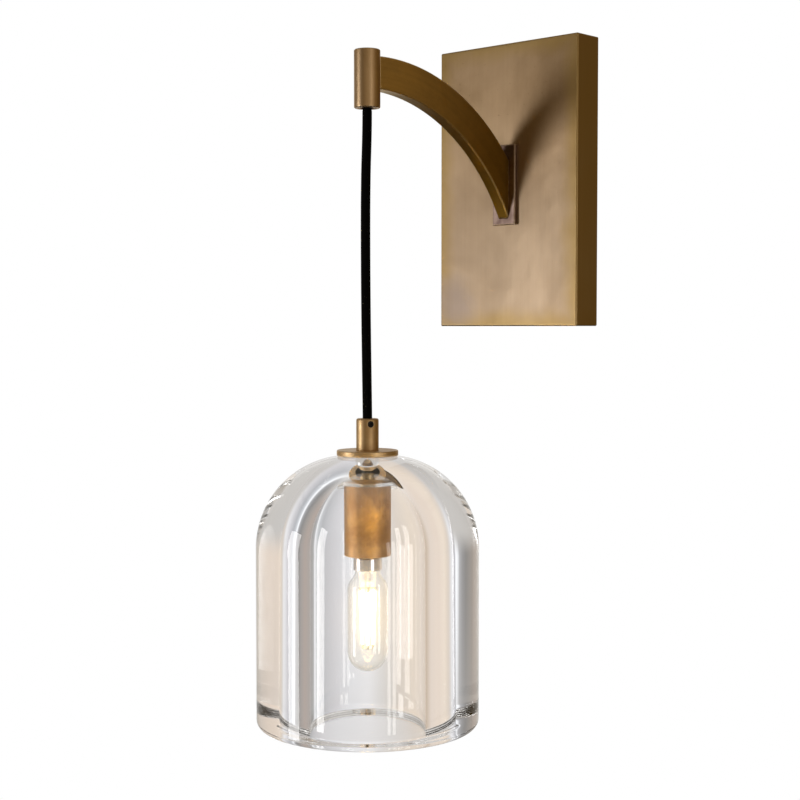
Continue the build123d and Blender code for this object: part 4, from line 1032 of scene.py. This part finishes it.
@dataclass
class LampHolder(Assembly):
    """Brass cup with the nipple, stirrup and moulded holder inside it."""

    nipple_pitch: float = 0.001
    nipple_depth: float = 0.0004
    nipple_bore: float = 0.0034
    shell_pitch: float = 0.00282
    shell_depth: float = 0.0004
    shell_wall: float = 0.0005

    def build(self) -> None:
        """Dress the cup, and thread the nipple and the holder's shell."""
        self.dress(
            cup_brass="socket_cup", plated_steel="lock_nut holder_stirrup holder_rivets",
            dark_resin="lampholder_body", contact_brass="centre_contact", blue_insulation="neutral_core",
            brown_insulation="live_core", striped_insulation="earth_core",
        )
        (low, high), outer, bore = heights("threaded_nipple"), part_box("threaded_nipple")[1][0], self.nipple_bore
        self.turn(
            "nipple", ladder(outer, low, high, 0.0001) + ladder(bore, high, low, 0.01), 64,
            "pendant", "threaded_nipple", "turned_brass", "bright_brass", depth=self.nipple_depth,
            pitch=self.nipple_pitch, low=low + 0.0004, high=high - 0.0004, over=bore + 0.0005,
        )
        (low, high), outer = heights("lampholder_shell"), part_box("lampholder_shell")[1][0]
        self.turn(
            "holder_thread", ladder(outer, low, high, 0.01) + ladder(outer - self.shell_wall, high, low, 0.00018), 96,
            "pendant", "lampholder_shell", "contact_brass", depth=-self.shell_depth,
            pitch=self.shell_pitch, low=low + 0.0012, high=high - 0.0006, over=0.0,
        )


@dataclass
class Lamp(Assembly):
    """Screw-in tubular lamp with four lit strips."""

    cap_wall: float = 0.0006
    thread_radius: float = 0.00695
    thread_pitch: float = 0.00282
    thread_depth: float = 0.00065
    thread_step: float = 0.00018
    collar_radius: float = 0.0090
    collar_height: float = 0.0079
    collar_break: float = 0.0002
    hole_radius: float = 0.0036
    glass_radius: float = 0.0128
    neck_radius: float = 0.0079
    glass_wall: float = 0.0007
    shoulder: float = 0.0123
    in_cap: float = 0.0040
    strip_count: int = 4
    strip_radius: float = 0.0009
    strip_top: float = 0.005
    strip_foot: float = 0.0032
    clip_height: float = 0.0022

    def build(self) -> None:
        """Make the cap, the glass and the strips."""
        self.dress(dark_resin="lamp_insulator", plated_steel="lamp_contact filament_supports", lamp_seal="lamp_stem")
        self._cap()
        outline = self._half_outline(0.0) + self._half_outline(self.glass_wall)[::-1]
        self.turn("lamp_bulb", outline, 128, "lamp", "lamp_envelope", "lamp_glass", casts=False)
        self._strips()

    def _cap(self) -> None:
        """Metal cap with its rolled thread and plain collar."""
        low, high = heights("lamp_cap")
        wall, step, edge, collar = self.cap_wall, self.thread_step, self.collar_radius, low + self.collar_height
        flare = edge - self.thread_radius
        outline = ladder(self.thread_radius, high, collar, step)
        outline += arc((edge - flare, collar - flare), flare, 90, 0, 8)[1:]
        outline += [(edge, low + self.collar_break), (edge - self.collar_break, low), (edge - wall, low)]
        outline += [(edge - wall, collar - flare)]
        outline += ladder(self.thread_radius - wall, collar - wall / 2, high - wall, step)
        outline += [(self.hole_radius, high - wall), (self.hole_radius, high)]
        self.turn(
            "lamp_screw_cap", outline, 96, "lamp", "lamp_cap", "lamp_cap_metal", depth=self.thread_depth,
            pitch=self.thread_pitch, low=collar + 0.0010, high=high - 0.0008, over=self.hole_radius + 0.001,
        )

    def _half_outline(self, inset: float) -> Profile:
        """Outline of the lamp's glass from the cap to the tip, drawn in by a wall."""
        low, high = heights("lamp_envelope")
        neck, belly = self.neck_radius - inset, self.glass_radius - inset
        cap_z = high - self.in_cap
        turn = 2 * math.atan2(belly - neck, self.shoulder)
        bend = self.shoulder / 2 / math.sin(turn)
        points = [(neck, high)]
        degrees = math.degrees(turn)
        points += [(neck + bend - r, z) for r, z in arc((0.0, cap_z), bend, 0, -degrees, 16)]
        points += [(belly - bend + r, z) for r, z in arc((0.0, cap_z - self.shoulder), bend, degrees, 0, 16)][1:]
        return points + arc((0.0, low + self.glass_radius), belly, 0, -90, 28)

    def _strips(self) -> None:
        """Four lit strips, with a metal clip at each end."""
        low, high = heights("lamp_filaments")
        clip = self.clip_height / (high - low)
        lit = self._ring("lit_strips", clip, 1 - clip, self.strip_radius, "lit_filament")
        wear(lit, "lamp", "lit_filament", "lamp_filaments")
        for name, first, last in (("upper_clips", 0.0, clip * 1.1), ("lower_clips", 1 - clip * 1.1, 1.0)):
            wear(self._ring(name, first, last, self.strip_radius * 0.8, "plated_steel"), "lamp", "plated_steel")

    def _ring(self, name: str, first: float, last: float, radius: float, finish: str) -> bpy.types.Object:
        """Ring of strips between two shares of the way down.

        Args:
            name: Name of the piece.
            first: Share where the strips begin.
            last: Share where they end.
            radius: Radius of each strip.
            finish: The material's name.

        Returns:
            The piece.
        """
        low, high = heights("lamp_filaments")
        values = {"Count": self.strip_count, "Axis Y": AXIS_Y, "Strip Radius": radius, "Material": self.finishes[finish]}
        for end, share in (("High", first), ("Low", last)):
            values[f"{end} Radius"] = self.strip_top + (self.strip_foot - self.strip_top) * share
            values[f"{end} Z"] = high + (low - high) * share
        return grow(name, point_mesh([(0.0, 0.0, 0.0)]), self.trees.strips, values)


# ------------------------------------------------------------------------------ studio
# Angle from the camera in degrees, positive to its right, and the tone of the surroundings there.
MIRRORED_TONES = [
    (-179, (0.75, 0.74, 0.73)), (-150, (0.60, 0.57, 0.52)), (-125, (0.26, 0.20, 0.13)), (-105, (0.10, 0.062, 0.015)),
    (-60, (0.09, 0.054, 0.010)), (-30, (0.19, 0.14, 0.075)), (0, (0.37, 0.29, 0.18)), (30, (0.37, 0.29, 0.18)),
    (60, (0.30, 0.21, 0.10)), (94, (0.155, 0.092, 0.016)), (118, (0.17, 0.105, 0.022)), (140, (0.40, 0.32, 0.23)),
    (160, (0.70, 0.66, 0.60)),
]
THROUGH_TONES = [
    (-179, (0.93, 0.92, 0.94)), (-172, (0.84, 0.84, 0.87)), (-165, (0.72, 0.71, 0.74)), (-150, (0.50, 0.51, 0.54)),
    (-144.5, (0.64, 0.66, 0.70)), (-141.5, (0.92, 0.94, 0.98)), (-139.5, (1.22, 1.24, 1.28)),
    (-137.2, (0.50, 0.50, 0.52)), (-134, (0.34, 0.34, 0.35)), (-130, (0.28, 0.275, 0.275)),
    (-122, (0.38, 0.35, 0.33)), (-112, (0.46, 0.39, 0.35)), (-95, (0.42, 0.40, 0.38)), (-60, (0.35, 0.32, 0.30)),
    (0, (0.40, 0.37, 0.33)), (60, (0.35, 0.30, 0.25)), (90, (0.45, 0.38, 0.30)), (105, (0.60, 0.49, 0.39)),
    (116, (0.80, 0.70, 0.62)), (130, (0.84, 0.72, 0.62)), (145, (0.89, 0.77, 0.66)), (156, (0.89, 0.77, 0.65)),
    (168, (0.78, 0.69, 0.61)), (176, (0.80, 0.77, 0.75)),
]
OVERHEAD = {"mirrored": (0.30, 0.25, 0.19), "through": (0.90, 0.88, 0.86)}
UNDERNEATH = {"mirrored": (0.055, 0.034, 0.010), "through": (0.62, 0.60, 0.58)}


@dataclass
class Studio:
    """Camera, floor, lights and the surroundings that the glass and the brass mirror."""

    camera_place: Point = (0.67484, -0.85528, -0.09799)
    camera_turn: float = 42.94
    camera_pitch: float = 2.655
    lens: float = 69.69
    floor_z: float = -1.0

    def direction(self, seen: float, height: float = 0.0) -> Vector:
        """Way from the lamp to a place seen at an angle to the right of the camera.

        Args:
            seen: Angle round the lamp from the camera, in degrees, positive to the camera's right.
            height: Angle above level, in degrees.

        Returns:
            Unit vector.
        """
        turn, rise = math.radians(self.camera_turn + seen), math.radians(height)
        return Vector((math.sin(turn) * math.cos(rise), -math.cos(turn) * math.cos(rise), math.sin(rise)))

    def build(self) -> None:
        """Make everything around the sconce."""
        self._camera()
        self._floor()
        self._surroundings()
        middle, pale = Vector((0.0, AXIS_Y, -0.27)), (1.0, 0.98, 0.95)
        lowered = middle + Vector((0.0, 0.0, -0.07))
        self._softbox("left_softbox", lowered, -78.0, 1.35, (0.33, 1.04), 7.5, (1.0, 0.985, 0.97))
        for name, seen in (("right_pane_a", 35.3), ("right_pane_b", 44.0)):
            self._softbox(name, middle, seen, 1.40, (0.125, 0.66), 1.2, pale)
        self._view()

    def _camera(self) -> None:
        """Camera at the photograph's place and angle."""
        data = bpy.data.cameras.new("camera")
        data.sensor_width, data.lens = 36.0, self.lens
        data.clip_start, data.clip_end = 0.01, 50.0
        camera = bpy.data.objects.new("camera", data)
        bpy.context.scene.collection.objects.link(camera)
        camera.location = self.camera_place
        camera.rotation_mode = "QUATERNION"
        camera.rotation_quaternion = (-self.direction(0.0, self.camera_pitch)).to_track_quat("-Z", "Y")
        bpy.context.scene.camera = camera

    def _floor(self) -> None:
        """Plain pale floor, far below the lamp, that only the camera sees."""
        mesh = bpy.data.meshes.new("floor")
        work = bmesh.new()
        bmesh.ops.create_circle(work, cap_ends=True, segments=96, radius=3.0)
        work.to_mesh(mesh)
        work.free()
        floor = bpy.data.objects.new("floor", mesh)
        floor.location = (0.0, AXIS_Y, self.floor_z)
        bpy.context.scene.collection.objects.link(floor)
        material = bpy.data.materials.new("pale_floor")
        material.use_nodes = True
        sheet = Sheet(material.node_tree)
        sheet.tree.nodes.clear()
        seen = sheet.add("ShaderNodeLightPath").outputs["Is Camera Ray"]
        clear = sheet.add("ShaderNodeBsdfTransparent")
        plain = sheet.add("ShaderNodeEmission", {"Color": rgba(WHITE), "Strength": 1.0})
        both = sheet.add("ShaderNodeMixShader", {0: seen, 1: clear, 2: plain})
        sheet.add("ShaderNodeOutputMaterial", {"Surface": both})
        mesh.materials.append(material)

    def _surroundings(self) -> None:
        """White behind the sconce, and a ring of soft tones that only its surfaces see."""
        world = bpy.data.worlds.new("studio")
        bpy.context.scene.world = world
        world.use_nodes = True
        sheet = Sheet(world.node_tree)
        sheet.tree.nodes.clear()
        x, y, z = sheet.split(sheet.add("ShaderNodeTexCoord").outputs["Generated"])
        turn = sheet.calc("ARCTAN2", x, sheet.times(y, -1.0))
        share = sheet.calc("MULTIPLY_ADD", turn, 1 / math.tau, 0.5)
        up = sheet.ramp(z, 0.30, 0.95)
        tones = {}
        for way, stops, down in (("mirrored", MIRRORED_TONES, (-0.16, -0.55)), ("through", THROUGH_TONES, (-0.14, -0.34))):
            level = self._ring(sheet, share, stops)
            rising = [(up, OVERHEAD[way]), (sheet.ramp(z, *down), UNDERNEATH[way])]
            for factor, tone in rising:
                level = sheet.blend(factor, level, tone)
            tones[way] = level
        path = sheet.add("ShaderNodeLightPath").outputs
        toned = sheet.blend(path["Is Transmission Ray"], tones["mirrored"], tones["through"])
        seen = sheet.blend(path["Is Camera Ray"], toned, WHITE)
        background = sheet.add("ShaderNodeBackground", {"Color": seen, "Strength": 1.0})
        sheet.add("ShaderNodeOutputWorld", {"Surface": background})
        LOG.info("built the surroundings")

    def _ring(self, sheet: Sheet, share: Socket, tones: Sequence[tuple[float, Colour]]) -> Socket:
        """Ring of tones round the lamp.

        Args:
            sheet: The world's sheet.
            share: Direction round the ring, from 0 to 1.
            tones: Angle from the camera in degrees, positive to its right, and the colour there.

        Returns:
            The colour's socket.
        """
        ramp = sheet.add("ShaderNodeValToRGB", {0: share})
        stops = sorted((((self.camera_turn + seen + 180) % 360) / 360, tone) for seen, tone in tones)
        elements = ramp.color_ramp.elements
        elements[0].position, elements[0].color = 0.0, rgba(stops[-1][1])
        elements[1].position, elements[1].color = 1.0, rgba(stops[-1][1])
        for position, tone in stops:
            elements.new(position).color = rgba(tone)
        return ramp.outputs[0]

    def _softbox(self, name: str, middle: Vector, seen: float, away: float, size: tuple[float, float],
                 power: float, tint: Colour) -> None:
        """Upright soft light that faces the lamp.

        Args:
            name: The light's name.
            middle: Point that it faces.
            seen: Angle round the lamp from the camera, in degrees.
            away: Distance from the lamp.
            size: Width and height.
            power: Power in watts.
            tint: Colour of the light.
        """
        data = bpy.data.lights.new(name, "AREA")
        data.shape, data.size, data.size_y = "RECTANGLE", size[0], size[1]
        data.energy, data.color = power, tint
        light = bpy.data.objects.new(name, data)
        way = self.direction(seen)
        light.location = middle + way * away
        light.rotation_mode = "QUATERNION"
        light.rotation_quaternion = (-way).to_track_quat("-Z", "Y")
        light.visible_camera = False
        bpy.context.scene.collection.objects.link(light)

    @staticmethod
    def _view() -> None:
        """View settings, light bounces for thick glass, and a soft glow round the lit strips."""
        scene = bpy.context.scene
        scene.view_settings.view_transform = "Standard"
        scene.view_settings.exposure = 0.0
        scene.cycles.max_bounces = 32
        scene.cycles.transmission_bounces = 32
        scene.cycles.glossy_bounces = 12
        scene.cycles.transparent_max_bounces = 16
        scene.cycles.sample_clamp_indirect = 6.0
        scene.use_nodes = True
        sheet = Sheet(scene.node_tree)
        sheet.tree.nodes.clear()
        layers = sheet.add("CompositorNodeRLayers")
        glare = sheet.add("CompositorNodeGlare", glare_type="FOG_GLOW", quality="HIGH", inputs={
            "Image": layers.outputs["Image"], "Threshold": 1.6, "Size": 0.30, "Strength": 0.7,
        })
        sheet.add("CompositorNodeComposite", {"Image": glare.outputs["Image"]})


# ------------------------------------------------------------------------------ the whole sconce
def main() -> None:
    """Build the studio and every sub-assembly, in order."""
    logging.basicConfig(level=logging.INFO, format="%(name)s: %(message)s")
    Studio().build()
    effects, trees = Effects(), ShapeTrees()
    finishes = Finishes(effects)
    for assembly in (HangingCord, WallPlate, Arm, GlassBell, LampHolder, Lamp):
        assembly(finishes, trees).build()
    LOG.info("the sconce is built")


if __name__ == "__main__":
    main()
